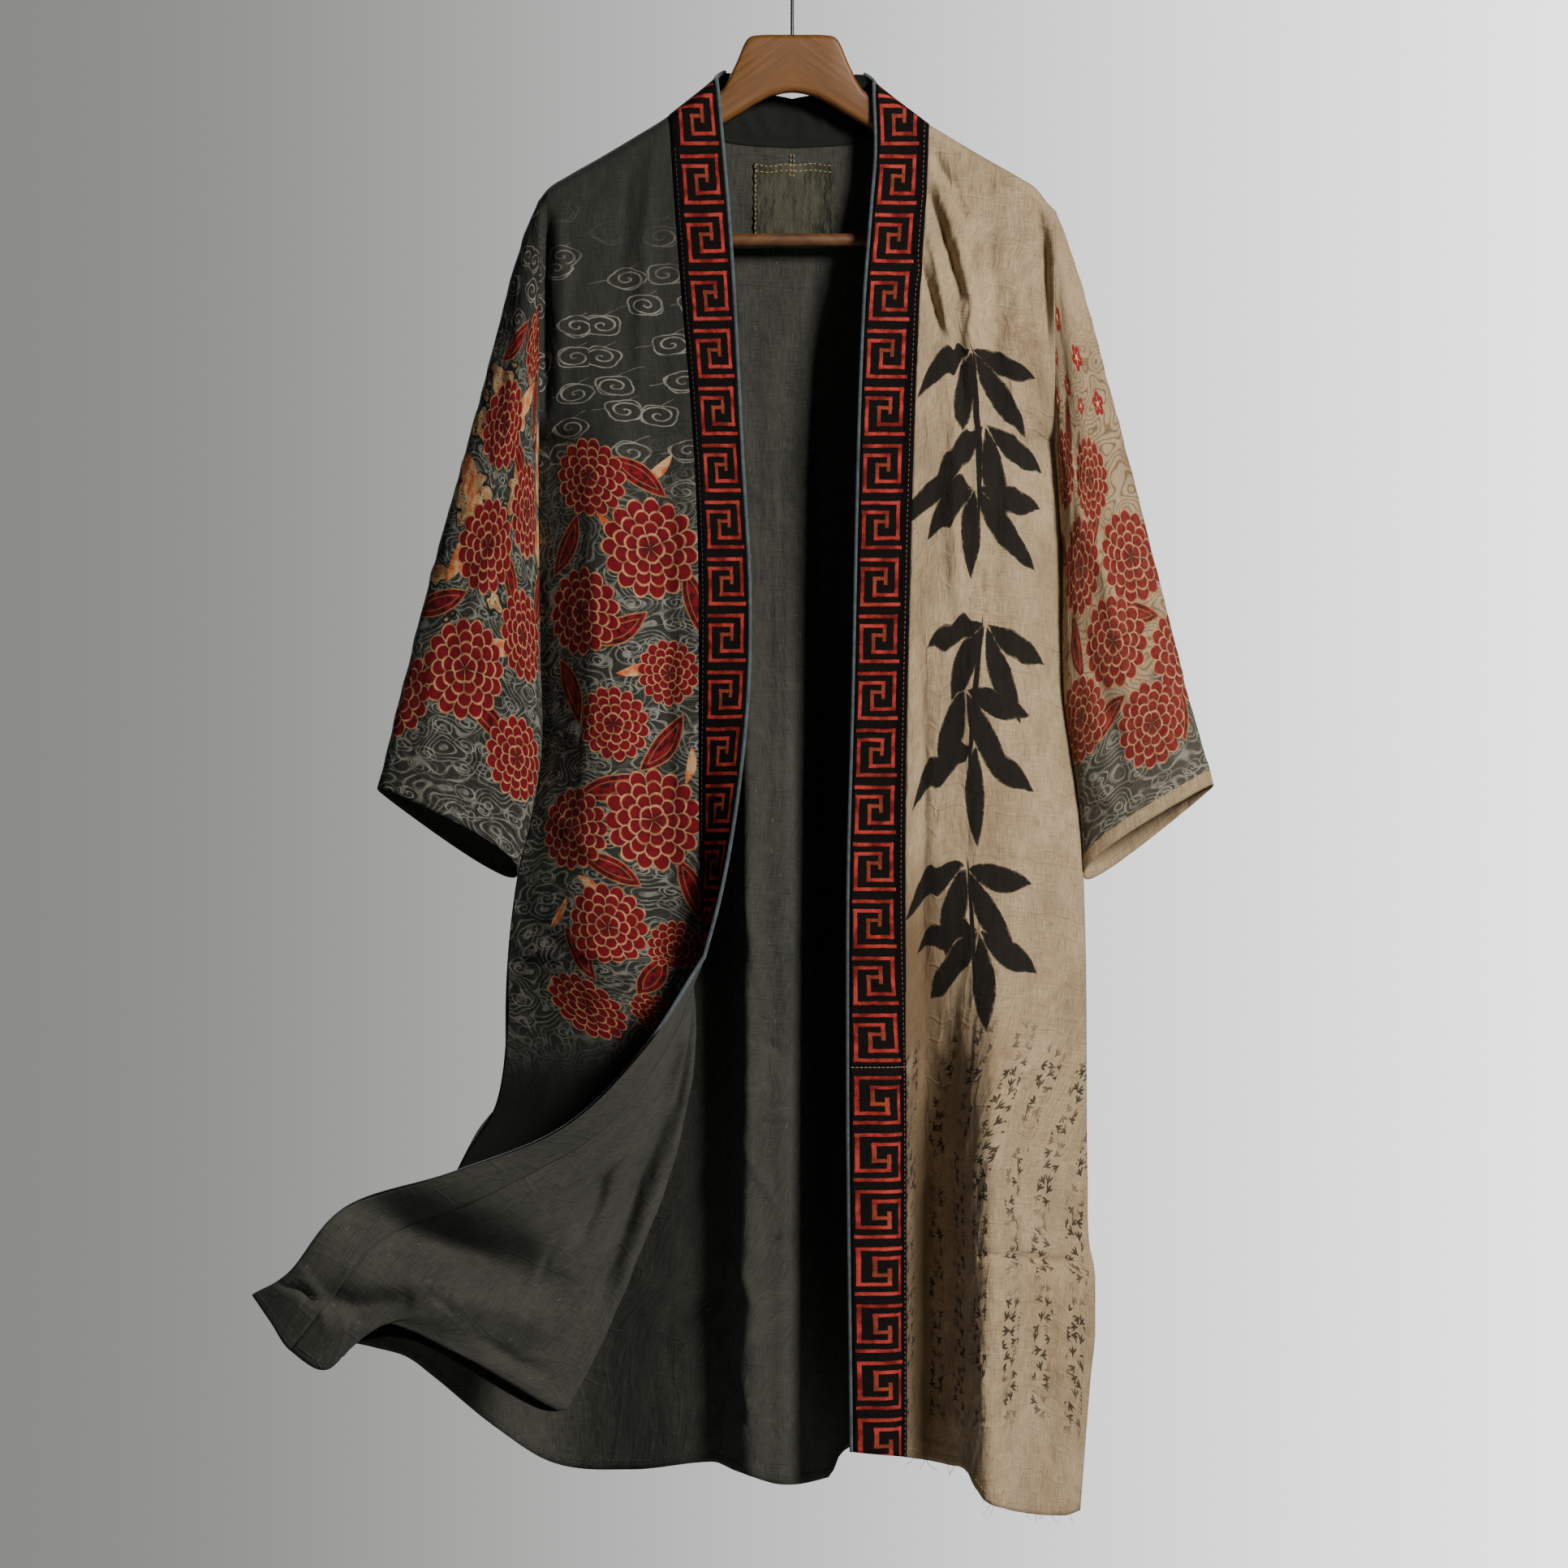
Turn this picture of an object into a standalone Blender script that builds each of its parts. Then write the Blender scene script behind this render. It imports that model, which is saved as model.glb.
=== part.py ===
"""A long open kimono robe on a wooden hanger, in metres, +Z up, its front facing -Y.

The origin is the inside of the hook's curve, where a rail carries the hanger. Every outline
is measured in the front view, from EYE_DISTANCE away, and brought to its own depth.
"""

import math

import bmesh
import bpy
import numpy as np

# Cloth and seams
CLOTH = 0.0016
BAND_CLOTH = 0.0026
PATCH_CLOTH = 0.0014
SEAM = 0.0003
HALF_SEAM = SEAM / 2
PIPING_RADIUS = 0.0016

# The front view that the outlines are measured in
EYE_DISTANCE = 6.0
EYE_HEIGHT = -0.763

# Depths of the body: front and back part from each other below the shoulders
SADDLE_DROP = 0.009
SADDLE_STATIONS = (0.0, 0.0007, 0.0036, 0.011, 0.027, 0.060)
SIDE_DEPTH = CLOTH / 2 + HALF_SEAM
ARMHOLE_DEPTH = 0.023
ARMHOLE_BOTTOM = -0.448
SHOULDER_ROUNDING = 0.08
SIDE_ROUNDING = 0.55
ROUNDING_DROP = 0.16
SIDE_FADE = 0.16
FOLD_FADE_DROP = 0.05
NECK_FADE_DROP = 0.10
SLEEVE_CLEARANCE = 0.0011

# Grids of the walls
PANEL_COLUMNS = 24
TAN_COLUMNS = 17
BAND_COLUMNS = 3
UPPER_ROWS = 15
SWEEP_ROWS = 14
TAN_ROWS = 26
BACK_ROWS = 25
SHOULDER_COLUMNS = 9
RING_POINTS = 20
DENSE = 161
PANEL_SHARE = 0.8
BEND_WEIGHT = 0.024
CLOTH_SHARP_ANGLE = 50
WOOD_SHARP_ANGLE = 35

# Hanger
YOKE_THICKNESS = 0.016
YOKE_EDGE = 0.005
YOKE_CLEARANCE = 0.0005
ARM_HEIGHT = 0.030
BAR_RADIUS = 0.006
BAR_HEIGHT = -0.267
BAR_HALF_LENGTH = 0.1983
WIRE_RADIUS = 0.0016
HOOK_RADIUS = 0.021
HOOK_ANGLES = (-60, 200)
YOKE_TOP = -0.080
STEM_BEND = 0.0075
STEM_LEAN = (0.0035, 0.005)

# Half outline of the yoke: its block below the hook, the lobe at the arm's end and the
# arch between the arms, as distance from the middle and height
YOKE_BLOCK = (
    (0.000, -0.0800),
    (0.024, -0.0805),
    (0.038, -0.0825),
    (0.043, -0.0870),
    (0.050, -0.1030),
    (0.059, -0.1220),
    (0.068, -0.1330),
)
YOKE_LOBE = (
    (0.2110, -0.2180),
    (0.2150, -0.2260),
    (0.2160, -0.2400),
    (0.2150, -0.2640),
    (0.2115, -0.2730),
    (0.2060, -0.2750),
    (0.2005, -0.2720),
    (0.1990, -0.2680),
    (0.1985, -0.2480),
)
YOKE_ARCH = (
    (0.067, -0.1630),
    (0.047, -0.1515),
    (0.036, -0.1445),
    (0.025, -0.1385),
    (0.013, -0.1345),
    (0.000, -0.1325),
)
ARM_TOP_INSET = 0.0015
ARM_TOP_DROP = 0.0012
ARM_FOOT_INSET = 0.004

# Shoulder line, the same on both sides: distance from the middle, height
SHOULDER = (
    (0.060, -0.113),
    (0.070, -0.121),
    (0.092, -0.138),
    (0.112, -0.154),
    (0.144, -0.174),
    (0.175, -0.1925),
    (0.204, -0.209),
    (0.223, -0.2215),
    (0.231, -0.232),
    (0.240, -0.241),
)

# Side edges of the body: height, distance to the viewer's right
LEFT_SIDE = (
    (-0.232, -0.231),
    (-0.448, -0.231),
    (-0.642, -0.229),
    (-0.717, -0.227),
    (-0.793, -0.237),
    (-0.852, -0.251),
    (-0.976, -0.261),
    (-1.040, -0.261),
    (-1.080, -0.287),
    (-1.120, -0.308),
    (-1.180, -0.341),
    (-1.229, -0.382),
    (-1.265, -0.400),
    (-1.299, -0.409),
)
RIGHT_SIDE = (
    (-0.241, 0.240),
    (-0.448, 0.240),
    (-0.560, 0.246),
    (-0.679, 0.247),
    (-0.793, 0.262),
    (-0.899, 0.267),
    (-1.121, 0.269),
    (-1.185, 0.271),
    (-1.217, 0.276),
    (-1.260, 0.276),
    (-1.302, 0.272),
    (-1.430, 0.262),
)

# Seam between a front and its neckband, and the neckband's free edge: height, place
SEAM_DARK = (
    (-0.154, -0.112),
    (-0.218, -0.108),
    (-0.312, -0.101),
    (-0.418, -0.092),
    (-0.529, -0.086),
    (-0.788, -0.084),
    (-0.921, -0.081),
)
EDGE_DARK = (
    (-0.122, -0.070),
    (-0.176, -0.065),
    (-0.275, -0.057),
    (-0.463, -0.047),
    (-0.603, -0.040),
    (-0.677, -0.0415),
    (-0.759, -0.049),
    (-0.825, -0.0585),
    (-0.873, -0.068),
    (-0.921, -0.0805),
)
SEAM_TAN = (
    (-0.154, 0.1245),
    (-0.199, 0.1235),
    (-0.332, 0.1155),
    (-0.714, 0.1045),
    (-0.862, 0.103),
    (-1.380, 0.1035),
)
EDGE_TAN = (
    (-0.122, 0.0755),
    (-0.181, 0.0775),
    (-0.237, 0.0735),
    (-0.332, 0.0665),
    (-0.714, 0.056),
    (-0.842, 0.0525),
    (-1.010, 0.052),
    (-1.372, 0.0555),
)

# How far the dark neckband's free edge has turned to the viewer: height, distance
EDGE_TURN = (
    (-0.560, 0.0),
    (-0.677, 0.014),
    (-0.759, 0.028),
    (-0.825, 0.038),
    (-0.873, 0.043),
    (-0.921, 0.046),
)

# Depth of the front and of the back, by the drop below the shoulder
FRONT_DEPTH = ((0.0, 0.0115), (0.06, 0.015), (0.15, 0.028), (0.30, 0.044), (0.60, 0.054), (1.30, 0.060))
BACK_DEPTH = ((0.0, 0.0115), (0.06, 0.018), (0.15, 0.030), (0.30, 0.044), (0.60, 0.058), (1.30, 0.070))

# Folds: place at the top and at the hem, half width, height to the viewer, where each starts
# and where it is full
FOLD_COLUMNS = ("top", "hem", "width", "rise", "start", "full")
FRONT_DARK_FOLDS = (
    (-0.219, -0.222, 0.016, -0.009, -0.250, -0.330),
    (-0.165, -0.180, 0.034, 0.009, -0.240, -0.700),
    (-0.128, -0.120, 0.020, -0.006, -0.260, -0.600),
)
FRONT_TAN_FOLDS = (
    (0.140, 0.140, 0.012, -0.004, -0.190, -0.240),
    (0.226, 0.228, 0.015, -0.008, -0.240, -0.330),
    (0.150, 0.129, 0.028, -0.026, -0.880, -1.220),
    (0.200, 0.214, 0.048, 0.020, -0.860, -1.180),
)
BACK_FOLDS = (
    (-0.016, -0.028, 0.036, 0.044, -0.270, -1.050),
    (-0.070, -0.082, 0.030, -0.018, -0.300, -1.000),
    (0.045, 0.040, 0.028, -0.024, -0.300, -1.000),
    (0.130, 0.120, 0.034, 0.026, -0.500, -1.150),
    (0.190, 0.196, 0.026, -0.018, -0.550, -1.150),
    (-0.150, -0.170, 0.036, 0.024, -0.500, -1.100),
    (-0.190, -0.280, 0.040, -0.026, -0.700, -1.200),
)

# Hems: share of the width from the viewer's left (the back) or from the side seam (the
# tan front), height
BACK_HEM = (
    (0.00, -1.299),
    (0.035, -1.278),
    (0.085, -1.287),
    (0.20, -1.347),
    (0.28, -1.381),
    (0.39, -1.388),
    (0.50, -1.381),
    (0.53, -1.389),
    (0.60, -1.402),
    (0.65, -1.395),
    (0.675, -1.376),
    (0.72, -1.369),
    (0.85, -1.377),
    (1.00, -1.382),
)
TAN_HEM = (
    (0.00, -1.425),
    (0.07, -1.430),
    (0.20, -1.429),
    (0.34, -1.424),
    (0.44, -1.416),
    (0.49, -1.402),
    (0.52, -1.390),
    (0.60, -1.384),
    (1.00, -1.372),
)
TURN_HEIGHT = -0.921
BODY_LENGTH = 1.20
SHOULDER_RISE = 0.18

# The back's columns: even along its top edge first, even along the hem further down, and
# their way from the top edge to the side edges, as shares of the way down
EVEN_START = 0.02
EVEN_REACH = 0.30
SIDE_REACH = 0.03

# Tuck across the tan front: height at the side, height at its inner end, share where it ends
TUCK = (-1.206, -1.195, 0.50)
TUCK_STEP = 0.0022
TUCK_FOLD = 0.004
TUCK_FADE = 0.06

# The swept front, a row for each section from the turn to the hem. Side seam, the hollow
# beside it, the ridge where the cloth folds back, three places on the flap that lies nearest
# the viewer, and the neckband's seam and free edge
SWEEP_COLUMNS = ("side", "hollow", "ridge", "flap_a", "flap_b", "flap_c", "seam", "edge")
SWEEP = (
    ((-0.260, -0.987), (-0.186, -0.040, -0.993), (-0.088, -0.066, -0.999), (-0.096, -0.083, -1.001),
     (-0.103, -0.093, -1.002), (-0.110, -0.101, -1.0025), (-0.115, -0.106, -1.003), (-0.135, -0.147, -1.004)),
    ((-0.270, -1.055), (-0.197, -0.042, -1.062), (-0.099, -0.070, -1.070), (-0.122, -0.094, -1.073),
     (-0.140, -0.109, -1.076), (-0.157, -0.121, -1.077), (-0.172, -0.130, -1.077), (-0.209, -0.156, -1.076)),
    ((-0.300, -1.105), (-0.220, -0.044, -1.117), (-0.115, -0.074, -1.129), (-0.160, -0.100, -1.141),
     (-0.200, -0.121, -1.147), (-0.238, -0.138, -1.145), (-0.274, -0.150, -1.136), (-0.309, -0.160, -1.117)),
    ((-0.333, -1.167), (-0.249, -0.046, -1.178), (-0.140, -0.078, -1.192), (-0.204, -0.107, -1.210),
     (-0.263, -0.130, -1.210), (-0.320, -0.146, -1.197), (-0.372, -0.156, -1.177), (-0.407, -0.157, -1.149)),
    ((-0.382, -1.229), (-0.288, -0.047, -1.238), (-0.171, -0.083, -1.266), (-0.250, -0.115, -1.266),
     (-0.323, -0.138, -1.246), (-0.380, -0.148, -1.238), (-0.421, -0.150, -1.233), (-0.458, -0.146, -1.208)),
    ((-0.409, -1.299), (-0.348, -0.038, -1.270), (-0.206, -0.090, -1.333), (-0.300, -0.122, -1.285),
     (-0.382, -0.138, -1.254), (-0.424, -0.131, -1.297), (-0.458, -0.127, -1.279), (-0.492, -0.126, -1.229)),
)
# Where those places lie along the panel's section at the turn, as shares of it
TURN_SHARES = {
    "side": 0.0, "hollow": 0.5, "before": 0.88, "ridge": 0.94, "after": 0.955,
    "flap_a": 0.965, "flap_b": 0.975, "flap_c": 0.988, "seam": 1.0,
}
FOLD_RADIUS = 0.011
RIDGE_BEFORE = 2.2 * FOLD_RADIUS
RIDGE_AFTER = 0.9 * FOLD_RADIUS
BAND_BULGE = 0.002

# Sleeves, a row for each ring from the armhole to the cuff: outer point, inner point, half
# depth, and how far the front hangs above the back
SLEEVE_COLUMNS = ("outer", "inner", "depth", "lift")
SLEEVE_DARK = (
    ((-0.231, -0.232), (-0.231, -0.448), ARMHOLE_DEPTH, 0.0),
    ((-0.245, -0.266), (-0.2345, -0.486), 0.024, 0.0),
    ((-0.262, -0.326), (-0.2345, -0.536), 0.026, 0.0),
    ((-0.280, -0.396), (-0.2335, -0.590), 0.028, 0.0),
    ((-0.300, -0.468), (-0.233, -0.648), 0.029, 0.001),
    ((-0.323, -0.551), (-0.232, -0.708), 0.030, 0.003),
    ((-0.346, -0.640), (-0.236, -0.762), 0.030, 0.006),
    ((-0.363, -0.708), (-0.245, -0.806), 0.029, 0.009),
    ((-0.378, -0.768), (-0.255, -0.848), 0.027, 0.011),
)
SLEEVE_TAN = (
    ((0.240, -0.241), (0.240, -0.448), ARMHOLE_DEPTH, 0.0),
    ((0.253, -0.276), (0.2460, -0.490), 0.024, 0.0),
    ((0.271, -0.334), (0.2500, -0.540), 0.026, 0.0),
    ((0.288, -0.400), (0.2508, -0.594), 0.028, 0.0),
    ((0.308, -0.474), (0.2510, -0.650), 0.029, 0.001),
    ((0.330, -0.559), (0.2545, -0.704), 0.030, 0.003),
    ((0.351, -0.646), (0.2615, -0.758), 0.030, 0.005),
    ((0.368, -0.709), (0.2665, -0.800), 0.029, 0.007),
    ((0.384, -0.768), (0.2685, -0.848), 0.026, 0.009),
)

# Back of the neck, a row for each station from a shoulder to the middle: place and depth
# of the seam with the back panel and of the free edge above it
NECK_COLUMNS = ("share", "seam_y", "seam_z", "edge_y", "edge_z")
NECK = (
    (1.000, 0.0000, -0.1540, 0.0000, -0.1220),
    (0.995, 0.0047, -0.1547, 0.0047, -0.1223),
    (0.975, 0.0097, -0.1575, 0.0097, -0.1228),
    (0.940, 0.0115, -0.1610, 0.0120, -0.1235),
    (0.860, 0.0128, -0.1665, 0.0145, -0.1245),
    (0.700, 0.0150, -0.1735, 0.0180, -0.1270),
    (0.450, 0.0172, -0.1800, 0.0212, -0.1330),
    (0.000, 0.0180, -0.1835, 0.0230, -0.1385),
)
NECK_SHARES = (0.0, 0.18, 0.36, 0.54, 0.72, 0.86, 0.94, 0.975, 0.995, 1.0)
NECK_END_POWER = 6

# Inside patch below the neck
PATCH_LEFT = -0.035
PATCH_RIGHT = 0.039
PATCH_TOP = -0.196
PATCH_FOOT = -0.2655

# Join across the tan neckband
BAND_JOIN = -1.019


def clear_scene():
    for thing in list(bpy.data.objects):
        bpy.data.objects.remove(thing)


def smooth(place, keys, values):
    """Cubic curve through values at rising or falling keys, flat beyond both ends."""
    keys = np.asarray(keys, float)
    values = np.asarray(values, float)
    if keys[0] > keys[-1]:
        keys = keys[::-1]
        values = values[::-1]
    place = np.clip(np.asarray(place, float), keys[0], keys[-1])
    slope = np.diff(values, axis=0) / _column(np.diff(keys), values)
    tangent = np.concatenate([slope[:1], (slope[1:] + slope[:-1]) / 2, slope[-1:]])
    if values.ndim == 1:
        tangent[1:-1][slope[1:] * slope[:-1] <= 0] = 0
    cell = np.clip(np.searchsorted(keys, place) - 1, 0, len(keys) - 2)
    width = keys[cell + 1] - keys[cell]
    t = (place - keys[cell]) / width
    parts = (2 * t**3 - 3 * t**2 + 1, (t**3 - 2 * t**2 + t) * width,
             3 * t**2 - 2 * t**3, (t**3 - t**2) * width)
    knots = (values[cell], tangent[cell], values[cell + 1], tangent[cell + 1])
    return sum(_column(part, values) * knot for part, knot in zip(parts, knots))


def _column(numbers, values):
    numbers = np.asarray(numbers)
    return numbers[..., None] if values.ndim > 1 else numbers


def line(table, place):
    """Second column of a two-column table, read smoothly by its first."""
    rows = np.array(table)
    return smooth(place, rows[:, 0], rows[:, 1])


def mix(a, b, share):
    return a + (b - a) * share


def ease(share):
    share = np.clip(share, 0, 1)
    return share * share * (3 - 2 * share)


def to_depth(points):
    """Front-view places brought to their own depth, as the eye sees them."""
    points = np.array(points, float)
    closer = 1 + points[..., 1] / EYE_DISTANCE
    points[..., 0] *= closer
    points[..., 2] = EYE_HEIGHT + (points[..., 2] - EYE_HEIGHT) * closer
    return points


def fold_rise(folds, x, z):
    """How far the folds lift the cloth to the viewer."""
    rise = np.zeros_like(x)
    for row in folds:
        fold = dict(zip(FOLD_COLUMNS, row))
        down = ease((fold["start"] - z) / (fold["start"] - fold["full"]))
        middle = mix(fold["top"], fold["hem"], down)
        rise += fold["rise"] * down * np.exp(-(((x - middle) / fold["width"]) ** 2))
    return rise


def armhole_depth(z, top):
    """Depth of the body's side edge: open at the armhole, closed at the side seam."""
    middle = (top + ARMHOLE_BOTTOM) / 2
    half = (top - ARMHOLE_BOTTOM) / 2
    round_share = np.clip(1 - ((z - middle) / half) ** 2, 0, 1)
    return np.maximum(SIDE_DEPTH, ARMHOLE_DEPTH * np.sqrt(round_share))


def body_depth(z, drop, share_from_side, shoulder_tip, depths):
    """Distance of a front or back panel from the middle plane."""
    full = line(depths, drop)
    side = armhole_depth(z, shoulder_tip)
    rounding = mix(SHOULDER_ROUNDING, SIDE_ROUNDING, ease(drop / ROUNDING_DROP))
    across = np.sin(np.clip(share_from_side / rounding, 0, 1) * math.pi / 2)
    saddle = np.sqrt(np.clip(1 - (1 - np.clip(drop / SADDLE_DROP, 0, 1)) ** 2, 0, 1))
    body = HALF_SEAM + (full - HALF_SEAM) * saddle
    depth = mix(side, body, across)
    return np.where(drop <= 0, HALF_SEAM, depth)


def fade_at_side(share_from_side):
    return ease(share_from_side / SIDE_FADE)


def front_row(down, side, seam, edge, hem_height, folds, turn=None):
    """One section of a front, from the side seam over the panel and the neckband.

    It returns the panel's curve and the neckband's curve. down is the share of the way
    from the shoulder to hem_height, which takes the share of the width.
    """
    across = np.linspace(0, 1, DENSE)
    on_panel = across <= PANEL_SHARE
    band = np.clip((across - PANEL_SHARE) / (1 - PANEL_SHARE), 0, 1)
    panel = np.clip(across / PANEL_SHARE, 0, 1)
    tip = side[0][1]
    top_seam = seam[0][1]
    top_edge = edge[0][1]
    top_x = np.where(on_panel, mix(tip, top_seam, panel), mix(top_seam, top_edge, band))
    top_z = line(SHOULDER, np.abs(top_x))
    z = mix(top_z, hem_height(across), down)
    x_seam = line(seam, z)
    x = np.where(on_panel, mix(line(side, z), x_seam, panel), mix(x_seam, line(edge, z), band))
    drop = top_z - z
    depth = body_depth(z, drop, panel, line(SHOULDER, abs(tip)), FRONT_DEPTH)
    depth = depth + fold_rise(folds, x, z) * fade_at_side(panel) * ease(drop / FOLD_FADE_DROP)
    if turn:
        depth = depth + line(turn, z) * band
    points = np.stack([x, -depth, z], axis=1)
    split = int(round(PANEL_SHARE * (DENSE - 1)))
    return points[: split + 1], points[split:]


def dark_upper_row(down):
    return front_row(
        down, LEFT_SIDE, SEAM_DARK, EDGE_DARK,
        lambda across: np.full_like(across, TURN_HEIGHT), FRONT_DARK_FOLDS, EDGE_TURN,
    )


def tan_row(down):
    panel, band = front_row(
        down, RIGHT_SIDE, SEAM_TAN, EDGE_TAN, lambda across: line(TAN_HEM, across), FRONT_TAN_FOLDS,
    )
    share = np.linspace(0, 1, len(panel))
    tuck = mix(TUCK[0], TUCK[1], share / TUCK[2])
    below = ease((tuck - panel[:, 2]) / TUCK_FOLD) * ease((TUCK[2] - share) / TUCK_FADE)
    panel[:, 1] -= TUCK_STEP * below * fade_at_side(share)
    return panel, band


def through(points, count):
    """Smooth curve through points in space."""
    points = np.asarray(points, float)
    steps = np.linalg.norm(np.diff(points, axis=0), axis=1)
    keys = np.concatenate([[0], np.cumsum(np.sqrt(steps))])
    return smooth(np.linspace(0, keys[-1], count), keys, points)


def sweep_controls():
    """Control points of every section of the swept front, the turn first."""
    panel, band = dark_upper_row(1.0)
    last = len(panel) - 1
    start = {name: panel[int(last * share)] for name, share in TURN_SHARES.items()}
    start["middle"] = band[len(band) // 2]
    start["edge"] = band[-1]
    rows = [start]
    for values in SWEEP:
        row = dict(zip(SWEEP_COLUMNS, (np.array(value, float) for value in values)))
        row["side"] = np.array([row["side"][0], -SIDE_DEPTH, row["side"][1]])
        row["before"] = row["ridge"] + np.array([-RIDGE_BEFORE, FOLD_RADIUS, 0])
        row["after"] = row["ridge"] + np.array([-RIDGE_AFTER, -FOLD_RADIUS, 0])
        row["middle"] = mix(row["seam"], row["edge"], 0.5) + np.array([0, -BAND_BULGE, 0])
        rows.append({name: row[name] for name in start})
    return rows


def dark_sweep_row(down, controls):
    """One section of the swept part: down is 0 at the turn and 1 at the hem."""
    place = down * (len(controls) - 1)
    keys = np.arange(len(controls))
    point = {
        name: smooth(place, keys, np.array([row[name] for row in controls]))
        for name in controls[0]
    }
    curve = through(list(point.values()), 4 * DENSE)
    split = int(np.argmin(np.linalg.norm(curve - point["seam"], axis=1)))
    return curve[: split + 1], curve[split:]


def resample(curve, count, bend_weight=0.0):
    """The same curve with count points, closer together where it bends."""
    step = np.linalg.norm(np.diff(curve, axis=0), axis=1)
    keep = np.concatenate([[True], step > 1e-7])
    curve = curve[keep]
    step = np.linalg.norm(np.diff(curve, axis=0), axis=1)
    weight = np.ones(len(step))
    if bend_weight:
        direction = np.diff(curve, axis=0) / step[:, None]
        turn = np.linalg.norm(np.diff(direction, axis=0), axis=1)
        bend = np.concatenate([[0], turn / step[1:]])
        kernel = np.ones(9) / 9
        weight = 1 + bend_weight * np.convolve(np.minimum(bend, 120), kernel, mode="same")
    run = np.concatenate([[0], np.cumsum(step * weight)])
    wanted = np.linspace(0, run[-1], count)
    return np.stack([np.interp(wanted, run, curve[:, axis]) for axis in range(3)], axis=1)


def shorten(curve, start=0.0, end=0.0):
    """The curve without a length cut from its start and its end."""
    step = np.linalg.norm(np.diff(curve, axis=0), axis=1)
    run = np.concatenate([[0], np.cumsum(step)])
    inside = run[(run > start) & (run < run[-1] - end)]
    wanted = np.concatenate([[start], inside, [run[-1] - end]])
    return np.stack([np.interp(wanted, run, curve[:, axis]) for axis in range(3)], axis=1)


def normals_of(grid):
    """Unit normals of a grid of points, by its rows and columns."""
    along = np.gradient(grid, axis=0)
    across = np.gradient(grid, axis=1)
    normal = np.cross(along, across)
    return normal / np.linalg.norm(normal, axis=2, keepdims=True)


def unit(vectors):
    return vectors / np.linalg.norm(vectors, axis=-1, keepdims=True)


def flatten(normals, rows, columns, axis):
    """Takes one axis out of the normals of a seam, so that its end face is square to it."""
    normals[rows, columns, axis] = 0


def wall(name, grid, normals, thickness, material, closed=False):
    """Closed wall on both sides of a grid. closed joins its last column to its first."""
    rows, columns = grid.shape[:2]
    faces = [(grid + normals * side * thickness / 2).reshape(-1, 3) for side in (1, -1)]
    mesh = bpy.data.meshes.new(name)
    shape = bmesh.new()
    outer = [shape.verts.new(point) for point in faces[0]]
    inner = [shape.verts.new(point) for point in faces[1]]
    last = columns if closed else columns - 1
    for row in range(rows - 1):
        for column in range(last):
            a = row * columns + column
            b = row * columns + (column + 1) % columns
            shape.faces.new((outer[a], outer[b], outer[b + columns], outer[a + columns]))
            shape.faces.new((inner[a], inner[a + columns], inner[b + columns], inner[b]))
    for a, b in border(rows, columns, closed):
        shape.faces.new((outer[b], outer[a], inner[a], inner[b]))
    bmesh.ops.recalc_face_normals(shape, faces=shape.faces)
    bmesh.ops.triangulate(shape, faces=shape.faces)
    shape.to_mesh(mesh)
    shape.free()
    thing = bpy.data.objects.new(name, mesh)
    bpy.context.collection.objects.link(thing)
    mesh.materials.append(material)
    mesh.shade_smooth()
    mesh.set_sharp_from_angle(angle=math.radians(CLOTH_SHARP_ANGLE))
    return thing


def border(rows, columns, closed):
    """Pairs of neighbours along the open edges of a grid."""
    last_row = (rows - 1) * columns
    pairs = []
    for column in range(columns if closed else columns - 1):
        after = (column + 1) % columns
        pairs.append((column, after))
        pairs.append((last_row + after, last_row + column))
    if not closed:
        for row in range(rows - 1):
            pairs.append(((row + 1) * columns, row * columns))
            pairs.append((row * columns + columns - 1, (row + 1) * columns + columns - 1))
    return pairs


def shoulder_stations(count, length):
    """Shares of the way down, close together over the saddle of the shoulder."""
    close = [drop / length for drop in SADDLE_STATIONS]
    rest = np.linspace(close[-1], 1, count - len(close) + 1)[1:]
    return close + list(rest)


def panel_and_band(rows, columns, band_columns):
    """Grids and matching normals of a front panel and of the neckband beside it."""
    panels = [resample(shorten(panel, end=HALF_SEAM), columns, BEND_WEIGHT) for panel, _ in rows]
    bands = [resample(shorten(band, start=HALF_SEAM), band_columns) for _, band in rows]
    panel_grid = to_depth(np.array(panels))
    band_grid = to_depth(np.array(bands))
    whole = normals_of(np.concatenate([panel_grid, band_grid], axis=1))
    joined = whole[:, columns - 1] + whole[:, columns]
    joined /= np.linalg.norm(joined, axis=1, keepdims=True)
    whole[:, columns - 1] = joined
    whole[:, columns] = joined
    flatten(whole, 0, slice(None), 1)
    flatten(whole, slice(None), 0, 0)
    return panel_grid, whole[:, :columns], band_grid, whole[:, columns:]


def cloth_material(name, colour, roughness=0.9):
    material = bpy.data.materials.new(name)
    material.use_nodes = True
    shader = material.node_tree.nodes["Principled BSDF"]
    shader.inputs["Base Color"].default_value = (*colour, 1)
    shader.inputs["Roughness"].default_value = roughness
    shader.inputs["Metallic"].default_value = 0.0
    return material


def metal_material(name, colour):
    material = cloth_material(name, colour, 0.35)
    material.node_tree.nodes["Principled BSDF"].inputs["Metallic"].default_value = 1.0
    return material


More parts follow.
